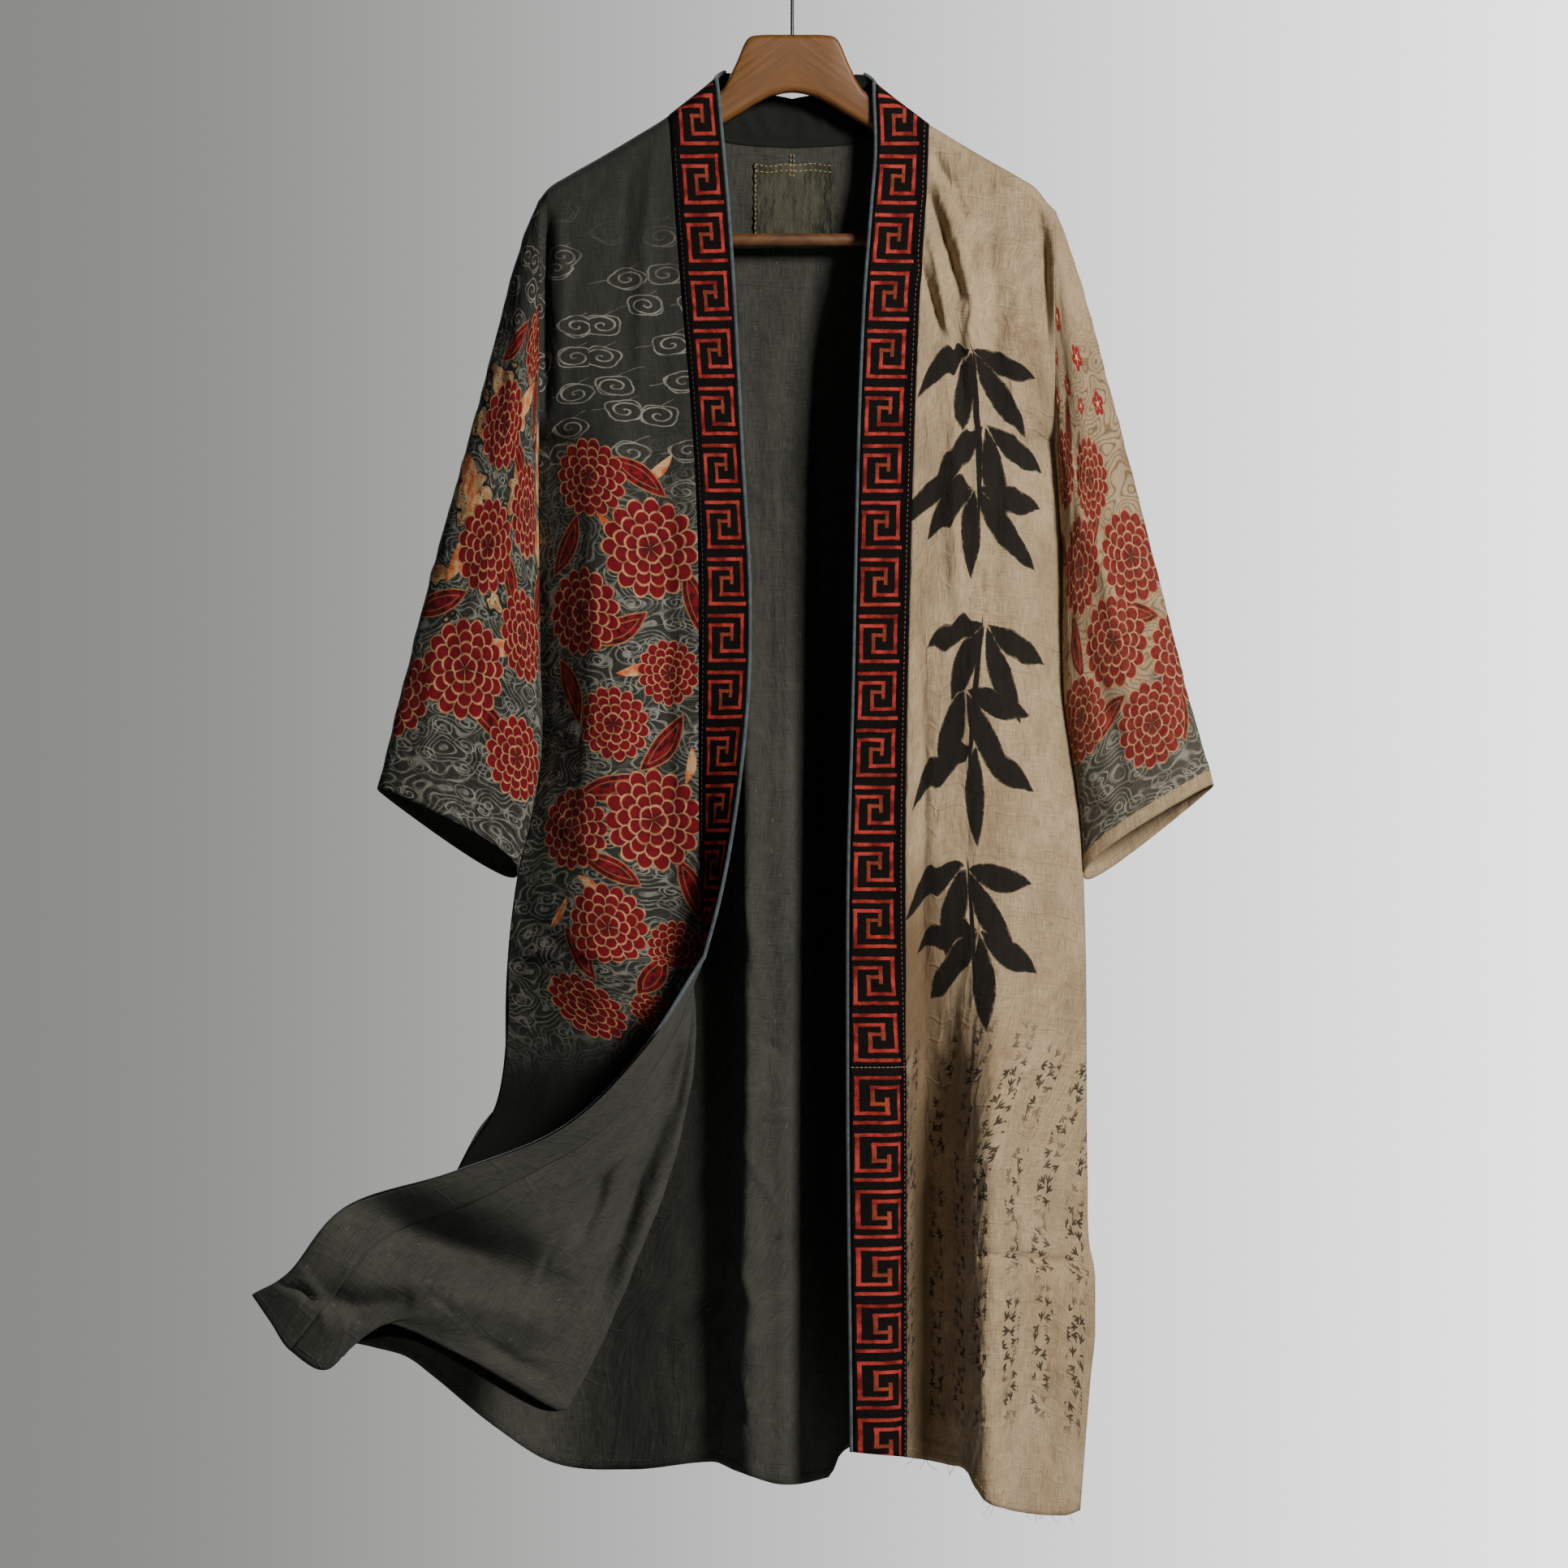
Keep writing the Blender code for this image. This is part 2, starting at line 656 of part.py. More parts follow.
def piping(name, band_grid, material):
    """Round piping along the free edge of a neckband."""
    edge = band_grid[:, -1]
    along = unit(np.gradient(edge, axis=0))
    outward = edge - band_grid[:, -2]
    outward = unit(outward - along * np.sum(outward * along, axis=1, keepdims=True))
    route = edge + outward * (PIPING_RADIUS + SEAM)
    route[0, 1] = edge[0, 1]
    curve = bpy.data.curves.new(name, "CURVE")
    curve.dimensions = "3D"
    curve.bevel_depth = PIPING_RADIUS
    curve.bevel_resolution = 1
    curve.use_fill_caps = True
    spline = curve.splines.new("POLY")
    spline.points.add(len(route) - 1)
    for point, place in zip(spline.points, route):
        point.co = (*place, 1)
    thing = bpy.data.objects.new(name, curve)
    bpy.context.collection.objects.link(thing)
    curve.materials.append(material)
    return thing


def fronts(materials):
    """Both fronts with their neckbands and piping."""
    controls = sweep_controls()
    rows = [dark_upper_row(down) for down in shoulder_stations(UPPER_ROWS, -TURN_HEIGHT - SHOULDER_RISE)]
    rows += [dark_sweep_row(down, controls) for down in np.linspace(0, 1, SWEEP_ROWS + 1)[1:]]
    panel, panel_normals, band, band_normals = panel_and_band(rows, PANEL_COLUMNS, BAND_COLUMNS + 1)
    wall("front_dark", panel, panel_normals, CLOTH, materials["dark"])
    wall("neckband_dark", band, band_normals, BAND_CLOTH, materials["band"])
    piping("piping_dark", band, materials["piping"])

    stations = shoulder_stations(TAN_ROWS, BODY_LENGTH)
    rows = [tan_row(down) for down in stations]
    panel, panel_normals, band, band_normals = panel_and_band(rows, TAN_COLUMNS, BAND_COLUMNS + 1)
    wall("front_tan", panel, panel_normals, CLOTH, materials["tan"])
    join = int(np.argmin(np.abs(band[:, 0, 2] - BAND_JOIN)))
    upper = band[: join + 1].copy()
    lower = band[join:].copy()
    upper[-1, :, 2] += HALF_SEAM
    lower[0, :, 2] -= HALF_SEAM
    flatten(band_normals, join, slice(None), 2)
    wall("neckband_tan", upper, band_normals[: join + 1], BAND_CLOTH, materials["band"])
    wall("neckband_tan_lower", lower, band_normals[join:], BAND_CLOTH, materials["band"])
    piping("piping_tan", band, materials["piping"])


def neck_side(x):
    """Half width of the neck's seam on the side of x."""
    return np.where(x < 0, -SEAM_DARK[0][1], SEAM_TAN[0][1])


def neck_line(x, column):
    share = np.abs(x) / neck_side(x)
    table = np.array(NECK)
    return smooth(share, table[:, 0], table[:, NECK_COLUMNS.index(column)])


def neck_height(x, column, dark_end, tan_end):
    """Height of the neck's seam or free edge. Its two ends meet the shoulder line."""
    share = np.abs(x) / neck_side(x)
    end = line(SHOULDER, np.where(x < 0, dark_end, tan_end))
    step = end - NECK[0][NECK_COLUMNS.index(column)]
    return neck_line(x, column) + step * share**NECK_END_POWER


def seam_height(x):
    return neck_height(x, "seam_z", -SEAM_DARK[0][1], SEAM_TAN[0][1])


def edge_height(x):
    return neck_height(x, "edge_z", -EDGE_DARK[0][1], EDGE_TAN[0][1])


def back_top(x):
    """Depth and height of the back's top edge: shoulder seam, then the seam of the neckband."""
    in_neck = np.abs(x) <= neck_side(x)
    depth = np.where(in_neck, np.maximum(neck_line(x, "seam_y"), HALF_SEAM), HALF_SEAM)
    height = np.where(in_neck, seam_height(np.where(in_neck, x, 0)), line(SHOULDER, np.abs(x)))
    return depth, height


def neck_places():
    shares = np.array(NECK_SHARES)
    return np.concatenate([SEAM_DARK[0][1] * shares[::-1], SEAM_TAN[0][1] * shares[1:]])


def back_columns():
    """Places of the back's columns along its top edge."""
    neck = neck_places()
    left = np.linspace(LEFT_SIDE[0][1], neck[0], SHOULDER_COLUMNS + 1)[:-1]
    right = np.linspace(neck[-1], RIGHT_SIDE[0][1], SHOULDER_COLUMNS + 1)[1:]
    return np.concatenate([left, neck, right])


def back_row(down):
    top_x = back_columns()
    share_top = (top_x - top_x[0]) / (top_x[-1] - top_x[0])
    share_hem = np.linspace(0, 1, len(top_x))
    share = mix(share_top, share_hem, ease((down - EVEN_START) / EVEN_REACH))
    top_y, top_z = back_top(top_x)
    z = mix(top_z, line(BACK_HEM, share), down)
    x = mix(line(LEFT_SIDE, z), line(RIGHT_SIDE, z), share)
    x = mix(top_x, x, ease(down / SIDE_REACH))
    drop = top_z - z
    from_side = np.minimum(share, 1 - share) * 2
    tip = np.where(x < 0, line(SHOULDER, -top_x[0]), line(SHOULDER, top_x[-1]))
    depth = body_depth(z, drop, from_side, tip, BACK_DEPTH)
    neck = np.maximum(top_y, depth)
    depth = mix(neck, depth, ease(drop / NECK_FADE_DROP))
    depth = np.where(drop <= 0, top_y, depth)
    depth = depth - fold_rise(BACK_FOLDS, x, z) * fade_at_side(from_side)
    return np.stack([x, depth, z], axis=1)


def back(materials):
    """The back panel, the neckband behind the neck and the patch stitched on the inside."""
    rows = [back_row(down) for down in shoulder_stations(BACK_ROWS, BODY_LENGTH)]
    grid = to_depth(np.array(rows))
    normals = normals_of(grid)
    band = neckband_grid()
    band_normals = normals_of(band)
    neck = slice(SHOULDER_COLUMNS, SHOULDER_COLUMNS + band.shape[1])
    flatten(normals, 0, slice(None), 1)
    flatten(normals, slice(None), 0, 0)
    flatten(normals, slice(None), -1, 0)
    flatten(band_normals, slice(None), 0, 1)
    flatten(band_normals, slice(None), -1, 1)

    across = unit(band[1] - band[0]) + unit(grid[0, neck] - grid[1, neck])
    across[[0, -1], 1] = 0
    across = unit(across)
    shared = normals_of(grid)[0, neck]
    turned = np.sign(np.sum(shared * band_normals[0], axis=1, keepdims=True))
    shared = shared + band_normals[0] * turned
    shared[[0, -1], 1] = 0
    shared = unit(shared - across * np.sum(shared * across, axis=1, keepdims=True))
    normals[0, neck] = shared
    band_normals[0] = shared * turned
    grid[0, neck] -= across * HALF_SEAM
    band[0] += across * HALF_SEAM
    wall("back", grid, normals, CLOTH, materials["dark"])
    wall("neckband_back", band, band_normals, BAND_CLOTH, materials["band"])
    back_patch(grid, materials)


def back_patch(grid, materials):
    """Made from the back's own points and lines, moved to the inside."""
    lift = CLOTH / 2 + SEAM + PATCH_CLOTH / 2
    middle = grid[:, grid.shape[1] // 2]
    lines = middle[(middle[:, 2] < PATCH_TOP) & (middle[:, 2] > PATCH_FOOT), 2]
    places = []
    for z in [PATCH_TOP, *lines, PATCH_FOOT]:
        at_height = np.array([
            [np.interp(-z, -column[:, 2], column[:, axis]) for axis in (0, 1)]
            for column in grid.transpose(1, 0, 2)
        ])
        inside = at_height[(at_height[:, 0] > PATCH_LEFT) & (at_height[:, 0] < PATCH_RIGHT), 0]
        across = [PATCH_LEFT, *inside, PATCH_RIGHT]
        places.append([(x, np.interp(x, at_height[:, 0], at_height[:, 1]) - lift, z) for x in across])
    patch = np.array(places)
    wall("back_patch", patch, normals_of(patch), PATCH_CLOTH, materials["dark"])


def neckband_grid():
    """The neckband behind the neck, from its seam up to its free edge."""
    stations = neck_places()
    edge_reach = np.where(stations < 0, -EDGE_DARK[0][1], EDGE_TAN[0][1])
    edge_x = stations / neck_side(stations) * edge_reach
    lower = np.stack([stations, np.maximum(neck_line(stations, "seam_y"), HALF_SEAM),
                      seam_height(stations)], axis=1)
    upper = np.stack([edge_x, np.maximum(neck_line(stations, "edge_y"), HALF_SEAM),
                      edge_height(stations)], axis=1)
    shares = np.linspace(0, 1, BAND_COLUMNS + 1)[:, None, None]
    return to_depth(mix(lower[None], upper[None], shares))


def sleeve(name, table, body_side, side, material):
    """A tube from the armhole to the cuff, just clear of the body's side.

    side is -1 at the viewer's left.
    """
    angle = np.linspace(0, 2 * math.pi, RING_POINTS, endpoint=False)
    rings = []
    for row in table:
        ring = dict(zip(SLEEVE_COLUMNS, row))
        outer = np.array(ring["outer"])
        inner = np.array(ring["inner"])
        if rings:
            inner[0] = line(body_side, inner[1]) + side * (CLOTH / 2 + SLEEVE_CLEARANCE)
        middle = (outer + inner) / 2
        half = (outer - inner) / 2
        x = middle[0] + half[0] * np.cos(angle)
        z = middle[1] + half[1] * np.cos(angle) + ring["lift"] * np.sin(angle)
        rings.append(np.stack([x, -ring["depth"] * np.sin(angle), z], axis=1))
    grid = to_depth(np.array(rings))
    grid[0, :, 0] += side * SEAM
    closed = np.concatenate([grid[:, -1:], grid, grid[:, :1]], axis=1)
    normals = normals_of(closed)[:, 1:-1]
    flatten(normals, 0, slice(None), 0)
    length = np.linalg.norm(normals[0], axis=1, keepdims=True)
    normals[0] /= length
    wall(name, grid, normals, CLOTH, material, closed=True)


def mirrored(points):
    return [(-x, z) for x, z in reversed(points)]


def yoke_outline():
    """Half outline of the yoke, from the top's middle round the arm to the arch."""
    sink = CLOTH / 2 + YOKE_CLEARANCE + ARM_TOP_DROP
    arm = SHOULDER[2:7]
    arm_top = [(x - ARM_TOP_INSET, z - sink) for x, z in arm]
    arm_foot = [(x - ARM_FOOT_INSET, z - ARM_HEIGHT) for x, z in reversed(arm)]
    return [*YOKE_BLOCK, *arm_top, *YOKE_LOBE, *arm_foot, *YOKE_ARCH]


def hanger(materials):
    """Wooden yoke with a trouser bar between its ends, and a wire hook."""
    right = yoke_outline()
    outline = right + mirrored(right[1:-1])
    shape = bmesh.new()
    verts = [shape.verts.new((x, -YOKE_THICKNESS / 2, z)) for x, z in outline]
    face = shape.faces.new(verts)
    made = bmesh.ops.extrude_face_region(shape, geom=[face])
    moved = [item for item in made["geom"] if isinstance(item, bmesh.types.BMVert)]
    bmesh.ops.translate(shape, vec=(0, YOKE_THICKNESS, 0), verts=moved)
    bmesh.ops.recalc_face_normals(shape, faces=shape.faces)
    rims = [edge for edge in shape.edges if abs(edge.verts[0].co.y - edge.verts[1].co.y) < 1e-6]
    bmesh.ops.bevel(shape, geom=rims, offset=YOKE_EDGE, segments=2, profile=0.5, affect="EDGES", material=-1)
    mesh = bpy.data.meshes.new("hanger_yoke")
    shape.to_mesh(mesh)
    shape.free()
    yoke = bpy.data.objects.new("hanger_yoke", mesh)
    bpy.context.collection.objects.link(yoke)
    mesh.materials.append(materials["wood"])
    mesh.shade_smooth()
    mesh.set_sharp_from_angle(angle=math.radians(WOOD_SHARP_ANGLE))

    bpy.ops.mesh.primitive_cylinder_add(vertices=20, radius=BAR_RADIUS, depth=2 * BAR_HALF_LENGTH)
    bar = bpy.context.object
    bar.name = "hanger_bar"
    bar.location = (0, 0, BAR_HEIGHT)
    bar.rotation_euler = (0, math.pi / 2, 0)
    bar.data.materials.append(materials["wood"])
    bar.data.shade_smooth()
    bar.data.set_sharp_from_angle(angle=math.radians(WOOD_SHARP_ANGLE))

    hook(materials)


def hook(materials):
    """A straight stem out of the wood, then a round hook with its opening at the side."""
    centre = WIRE_RADIUS - HOOK_RADIUS
    turn = np.radians(np.linspace(*HOOK_ANGLES, 27))
    arc = [(HOOK_RADIUS * math.cos(a), centre + HOOK_RADIUS * math.sin(a)) for a in turn]
    stem_top = centre - HOOK_RADIUS - STEM_BEND
    lean, rise = STEM_LEAN
    stem = [(0.0, YOKE_TOP + SEAM), (0.0, stem_top), (lean, stem_top + rise)]
    curve = bpy.data.curves.new("hanger_hook", "CURVE")
    curve.dimensions = "3D"
    curve.bevel_depth = WIRE_RADIUS
    curve.bevel_resolution = 2
    curve.use_fill_caps = True
    spline = curve.splines.new("POLY")
    route = stem + arc
    spline.points.add(len(route) - 1)
    for point, (x, z) in zip(spline.points, route):
        point.co = (x, 0, z, 1)
    thing = bpy.data.objects.new("hanger_hook", curve)
    bpy.context.collection.objects.link(thing)
    curve.materials.append(materials["metal"])


def main():
    clear_scene()
    materials = {
        "dark": cloth_material("charcoal linen", (0.016, 0.016, 0.013), 0.92),
        "tan": cloth_material("tan linen", (0.40, 0.31, 0.21), 0.92),
        "band": cloth_material("red key band", (0.16, 0.035, 0.028), 0.85),
        "piping": cloth_material("grey-blue piping", (0.20, 0.23, 0.25), 0.7),
        "wood": cloth_material("hanger wood", (0.21, 0.10, 0.045), 0.5),
        "metal": metal_material("hook wire", (0.10, 0.10, 0.10)),
    }
    back(materials)
    fronts(materials)
    sleeve("sleeve_dark", SLEEVE_DARK, LEFT_SIDE, -1, materials["dark"])
    sleeve("sleeve_tan", SLEEVE_TAN, RIGHT_SIDE, 1, materials["tan"])
    hanger(materials)


main()
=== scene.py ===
"""A long open kimono robe, half charcoal and half tan, on a wooden hanger.

Lengths are in metres, in the tables inside metres() in millimetres. The robe's front faces
-Y, +Z is up, and the origin is the inside of the hook's curve. Outlines are measured in the
front view and brought to their own depth.
"""

import math

import bmesh
import bpy
import numpy as np
from mathutils import Matrix, Vector


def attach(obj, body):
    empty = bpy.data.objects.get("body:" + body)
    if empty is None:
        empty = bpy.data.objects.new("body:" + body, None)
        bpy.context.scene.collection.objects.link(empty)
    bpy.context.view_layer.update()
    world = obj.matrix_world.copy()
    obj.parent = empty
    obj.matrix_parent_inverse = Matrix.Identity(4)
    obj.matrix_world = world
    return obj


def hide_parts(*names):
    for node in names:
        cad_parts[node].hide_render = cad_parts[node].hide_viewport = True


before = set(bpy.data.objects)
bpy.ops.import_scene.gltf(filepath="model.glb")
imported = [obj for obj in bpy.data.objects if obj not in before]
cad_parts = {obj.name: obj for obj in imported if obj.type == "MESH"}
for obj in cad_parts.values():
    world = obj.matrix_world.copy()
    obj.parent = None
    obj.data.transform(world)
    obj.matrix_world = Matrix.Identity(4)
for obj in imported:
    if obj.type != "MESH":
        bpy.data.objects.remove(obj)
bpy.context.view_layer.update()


def metres(table):
    """A table of millimetres in metres, however its rows are nested."""
    if isinstance(table, tuple):
        return tuple(metres(item) for item in table)
    return table / 1000


FORWARD = (0, -1, 0)
BACKWARD = (0, 1, 0)
DOUBLES = 1e-6

# Cloth and seams
CLOTH = 0.0012
BAND_CLOTH = 0.0024
PATCH_CLOTH = 0.0011
SEAM = 0.0003
HALF_SEAM = SEAM / 2
PIPING_RADIUS = 0.0018
PIPING_OUT = 0.8
PIPING_OUT_TURNED = -0.45
PIPING_BEHIND = 0.0024
PIPING_TURN = 0.10
NECK_PIPED = 9
BAND_WIDTH = 0.048

# The front view that the outlines are measured in
EYE_DISTANCE = 6.0
EYE_HEIGHT = -0.763
EYE_SIDE = -0.0074
VIEW_WIDTH = 1.4297
SENSOR = 36.0

# Studio
# The wall seen behind the robe grows lighter from left to right: a painted fall of the key light, which
# stands at the right.
WALL_SHADED_LEFT = (0.27, 0.277, 0.252)
WALL_LIT_RIGHT = (2.75, 2.80, 2.82)
WALL_SPAN = 0.13
WALL_POWER = 2.2
SURROUND = (0.028, 0.029, 0.030)
# Lights: name, place, the place that each looks at, side, power, colour
LIGHTS = (
    ("key", (2.45, -3.2, 1.1), (0, 0, -0.75), 1.0, 310.0, (1.0, 0.985, 0.955)),
    ("fill", (-2.8, -3.0, 0.0), (0, 0, -0.8), 2.0, 2.5, (0.95, 0.98, 1.0)),
    ("back", (-1.6, 3.6, 0.8), (0, 0, -0.75), 2.0, 90.0, (0.97, 0.99, 1.0)),
)
FLOOR_HEIGHT = -2.30
FLOOR_BACK = 0.8
FLOOR_HALF = 1.6

# Depths of the body. SOLID_CLOTH is the cloth of the solids, ARMHOLE is in millimetres.
SADDLE_DROP = 0.009
SOLID_CLOTH = 0.0016
SIDE_DEPTH = SOLID_CLOTH / 2 + HALF_SEAM
ARMHOLE = 23
ARMHOLE_DEPTH = metres(ARMHOLE)
ARMHOLE_BOTTOM = -0.448
SHOULDER_ROUNDING = 0.08
SIDE_ROUNDING = 0.55
ROUNDING_DROP = 0.16
SIDE_FADE = 0.07
FOLD_FADE_DROP = 0.05
NECK_FADE_DROP = 0.10
SLEEVE_CLEARANCE = 0.0004
NECK_END_POWER = 6
TUCK_FOLD = 0.006
TUCK_FADE = 0.06
HEM_HEIGHT = 0.0085
CREASE_FADE_POWER = 0.6
BAND_HANGS_FADE = 0.05
COLLAR_FADE = 0.010
BACK_SPREAD_START = 0.02
BACK_SPREAD = 0.30
SHOULDER_SHARE = 0.03
RIDGE_FADE_POINTS = 60
FLAP_FADE = 0.12
ARMHOLE_FADE_RINGS = 0.9
CUFF_LIFT_POWER = 0.7
CUFF_LIFT_INNER = 0.55

# Grids of the cloth
BACK_ROWS = 250
DARK_COLUMNS = 130
UPPER_ROWS = 150
SWEEP_ROWS = 110
TAN_COLUMNS = 100
TAN_ROWS = 300
BAND_COLUMNS = 14
SADDLE_ROWS = 9
RING_POINTS = 160
MOST_BEND = 120
BEND_SPREAD = 9
SLEEVE_ROWS = 130
NECK_HALF_COLUMNS = 28
BACK_SHOULDER_COLUMNS = 50
BODY_LENGTH = 1.20
UPPER_LENGTH = 0.741
DENSE = 321
PANEL_SHARE = 0.8
BEND_WEIGHT = 0.010

# Small ripples of the cloth: seed, height, length, and how much longer they are down the cloth
DARK_CRUMPLE = (3, 0.00035, 0.030, 1.6)
TAN_CRUMPLE = (7, 0.00045, 0.028, 1.5)
BACK_CRUMPLE = (11, 0.0004, 0.020, 3.0)
SLEEVE_SEED = 21
SLEEVE_CRUMPLE = (0.00045, 0.035, 1.5)

# Hanger
YOKE_THICKNESS = 0.016
YOKE_CORNER = 0.006
CORNER_POINTS = 7
LOFT_STEPS = 5
BAR_RADIUS = 0.006
BAR_HEIGHT = -0.267
BAR_HALF_LENGTH = 0.1983
WIRE_RADIUS = 0.0016
HOOK_RADIUS = 0.021
HOOK_ANGLES = (-60, 200)
YOKE_TOP = -0.080
STEM_BEND = 0.0075
STEM_LEAN = (0.0035, 0.005)
STEM_IN_WOOD = 0.002
BAR_EDGE = 0.0012
WOOD_SHARP_ANGLE = math.radians(40)

# Shoulder line, the same on both sides: distance from the middle, height
SHOULDER = metres((
    (60, -113), (70, -121), (92, -138), (112, -154), (144, -174), (175, -192.5), (204, -209),
    (223, -221.5), (231, -232), (240, -241),
))

# Side edges of the body: height, distance to the viewer's right
LEFT_SIDE = metres((
    (-232, -231), (-448, -231), (-642, -229), (-717, -227), (-793, -237), (-852, -251),
    (-976, -261), (-1040, -261), (-1080, -287), (-1120, -308), (-1180, -341), (-1229, -382),
    (-1265, -400), (-1299, -409),
))
RIGHT_SIDE = metres((
    (-241, 240), (-448, 240), (-560, 246), (-679, 247), (-793, 262), (-899, 267), (-1121, 269),
    (-1185, 271), (-1200, 274.5), (-1217, 276), (-1260, 276), (-1302, 272), (-1430, 262),
))

# Seam between a front and its neckband, and the neckband's free edge: height, place
SEAM_DARK = metres((
    (-154, -112), (-218, -108), (-312, -101), (-418, -92), (-529, -86), (-788, -84), (-921, -81),
))
EDGE_DARK = metres((
    (-122, -70), (-176, -65), (-275, -57), (-463, -47), (-603, -40), (-677, -41.5), (-759, -49),
    (-825, -58.5), (-873, -68), (-921, -80.5),
))
SEAM_TAN = metres((
    (-154, 124.5), (-199, 123.5), (-332, 115.5), (-714, 104.5), (-862, 103), (-1380, 103.5),
))
EDGE_TAN = metres((
    (-122, 75.5), (-181, 77.5), (-237, 73.5), (-332, 66.5), (-714, 56), (-842, 52.5), (-1010, 52),
    (-1372, 55.5),
))

# How far the dark neckband's free edge has turned to the viewer: height, distance
EDGE_TURN = metres((
    (-560, 0), (-677, 14), (-759, 28), (-825, 38), (-873, 43), (-921, 46),
))

# Depth of the front and of the back, by the drop below the shoulder
FRONT_DEPTH = metres(((0, 11.5), (60, 15), (150, 28), (300, 44), (600, 54), (1300, 60)))
BACK_DEPTH = metres(((0, 11.5), (60, 18), (150, 30), (300, 44), (600, 58), (1300, 70)))

# Large folds: place at the top and at the hem, half width, height to the viewer, where each
# starts and where it is full
FOLD_COLUMNS = ("top", "hem", "width", "rise", "start", "full")
FRONT_DARK_FOLDS = metres((
    (-165, -180, 34, 9, -240, -700),
    (-128, -120, 20, -6, -260, -600),
))
FRONT_TAN_FOLDS = metres((
    (121, 115, 16, -44, -830, -1110),
    (146, 135, 19, -37, -830, -1120),
    (192, 182, 24, 32, -860, -1150),
))
BACK_FOLDS = metres((
    (-32, -38, 22.5, 68, -270, -950),
    (4, -3, 22.5, 68, -270, -950),
    (-75, -85, 50, 26, -450, -1050),
    (50, 44, 26, -28, -300, -950),
    (130, 120, 34, 26, -500, -1150),
    (190, 196, 26, -18, -550, -1150),
    (-180, -205, 60, -36, -600, -1100),
))

# Creases, placed in the front view: the way each runs, half width, height to the viewer
CREASE_COLUMNS = ("way", "width", "rise")
BACK_CREASES = metres((
    (((-50, -300), (-42, -700), (-40, -1050), (-52, -1370)), 6, 7.6),
    (((-58, -700), (-54, -1000), (-66, -1340)), 5, -8.5),
    (((12, -380), (16, -800), (12, -1340)), 6, 5.1),
    (((22, -300), (26, -750), (22, -1350)), 5, -6.8),
    (((-18, -300), (-14, -620), (-18, -900)), 3, 1.7),
    (((-6, -420), (-4, -760), (-8, -1000)), 2.8, 1.5),
    (((-32, -350), (-28, -640)), 2.6, -1.5),
    (((-45, -381), (0, -379), (18, -383)), 2, 1.4),
    (((-40, -413), (10, -416)), 1.8, 1.2),
    (((-42, -501), (12, -499)), 2, 1.5),
    (((-35, -551), (14, -553)), 1.8, 1.4),
    (((-22, -677), (14, -676)), 2.2, 2.4),
    (((-42, -867), (-31, -942), (-23, -979)), 3.5, 6),
    (((-35, -994), (-12, -1005), (-10, -1035)), 2.8, -5),
    (((-41, -1039), (-10, -1037)), 2.2, -4.5),
    (((-36, -1069), (-10, -1073)), 2, -3),
    (((-40, -1100), (-26, -1128), (-16, -1148)), 3.2, 5.5),
    (((-36, -1183), (-1, -1181), (10, -1176)), 2.2, -4.5),
    (((-50, -1196), (-35, -1241), (-44, -1279)), 3.8, 7.5),
    (((-16, -1241), (6, -1229)), 2, 3.5),
    (((-46, -1300), (-38, -1335), (-46, -1362)), 3.5, 6),
    (((-45, -760), (4, -768)), 2.2, 1.4),
    (((-44, -868), (-10, -862), (12, -866)), 2.2, 1.7),
    (((-43, -1008), (-12, -1010), (-10, -1038), (-41, -1040)), 2.2, 3.1),
    (((-46, -1040), (6, -1036)), 2, 1.7),
    (((-42, -1068), (12, -1064)), 2.4, 2.4),
    (((-30, -1183), (8, -1172), (31, -1166)), 3, -3.7),
    (((-12, -1236), (18, -1219)), 2, 2),
    (((-50, -1275), (-10, -1268)), 2.2, 1.7),
    (((-58, -930), (-46, -955), (-58, -985)), 3, 4.1),
    (((-60, -1060), (-46, -1090), (-60, -1120)), 3, 4.4),
    (((-62, -1190), (-50, -1220), (-64, -1250)), 3, 4.4),
    (((-64, -1300), (-52, -1320), (-66, -1345)), 3, 3.7),
    (((-130, -350), (-120, -700), (-130, -1100)), 6, 3.4),
    (((-180, -420), (-170, -800)), 6, -2.7),
    (((80, -330), (88, -700), (80, -1150)), 6, 3.1),
    (((160, -400), (165, -900)), 7, 2),
    (((205, -300), (150, -420)), 6, 3.1),
    (((-205, -290), (-150, -400)), 6, 3.1),
    (((-222, -900), (-180, -1050)), 6, 3.1),
    (((-40, -215), (-30, -260)), 4, 1.4),
))
FRONT_DARK_CREASES = metres((
    (((-128, -185), (-134, -260), (-140, -420)), 7, 3.9),
    (((-148, -192), (-156, -300)), 6, -2.1),
    (((-228, -236), (-230.5, -300), (-231.5, -420)), 9, -30),
    (((-214, -240), (-208, -300), (-212, -420)), 6, 3.3),
    (((-186, -470), (-180, -640), (-190, -800)), 8, 2.7),
    (((-110, -520), (-112, -700), (-108, -860)), 7, -2.7),
    (((-228, -700), (-180, -735), (-130, -730)), 6, 2.1),
    (((-228, -780), (-170, -840), (-110, -860)), 7, 2.4),
    (((-250, -880), (-190, -930), (-120, -940)), 8, -3),
))
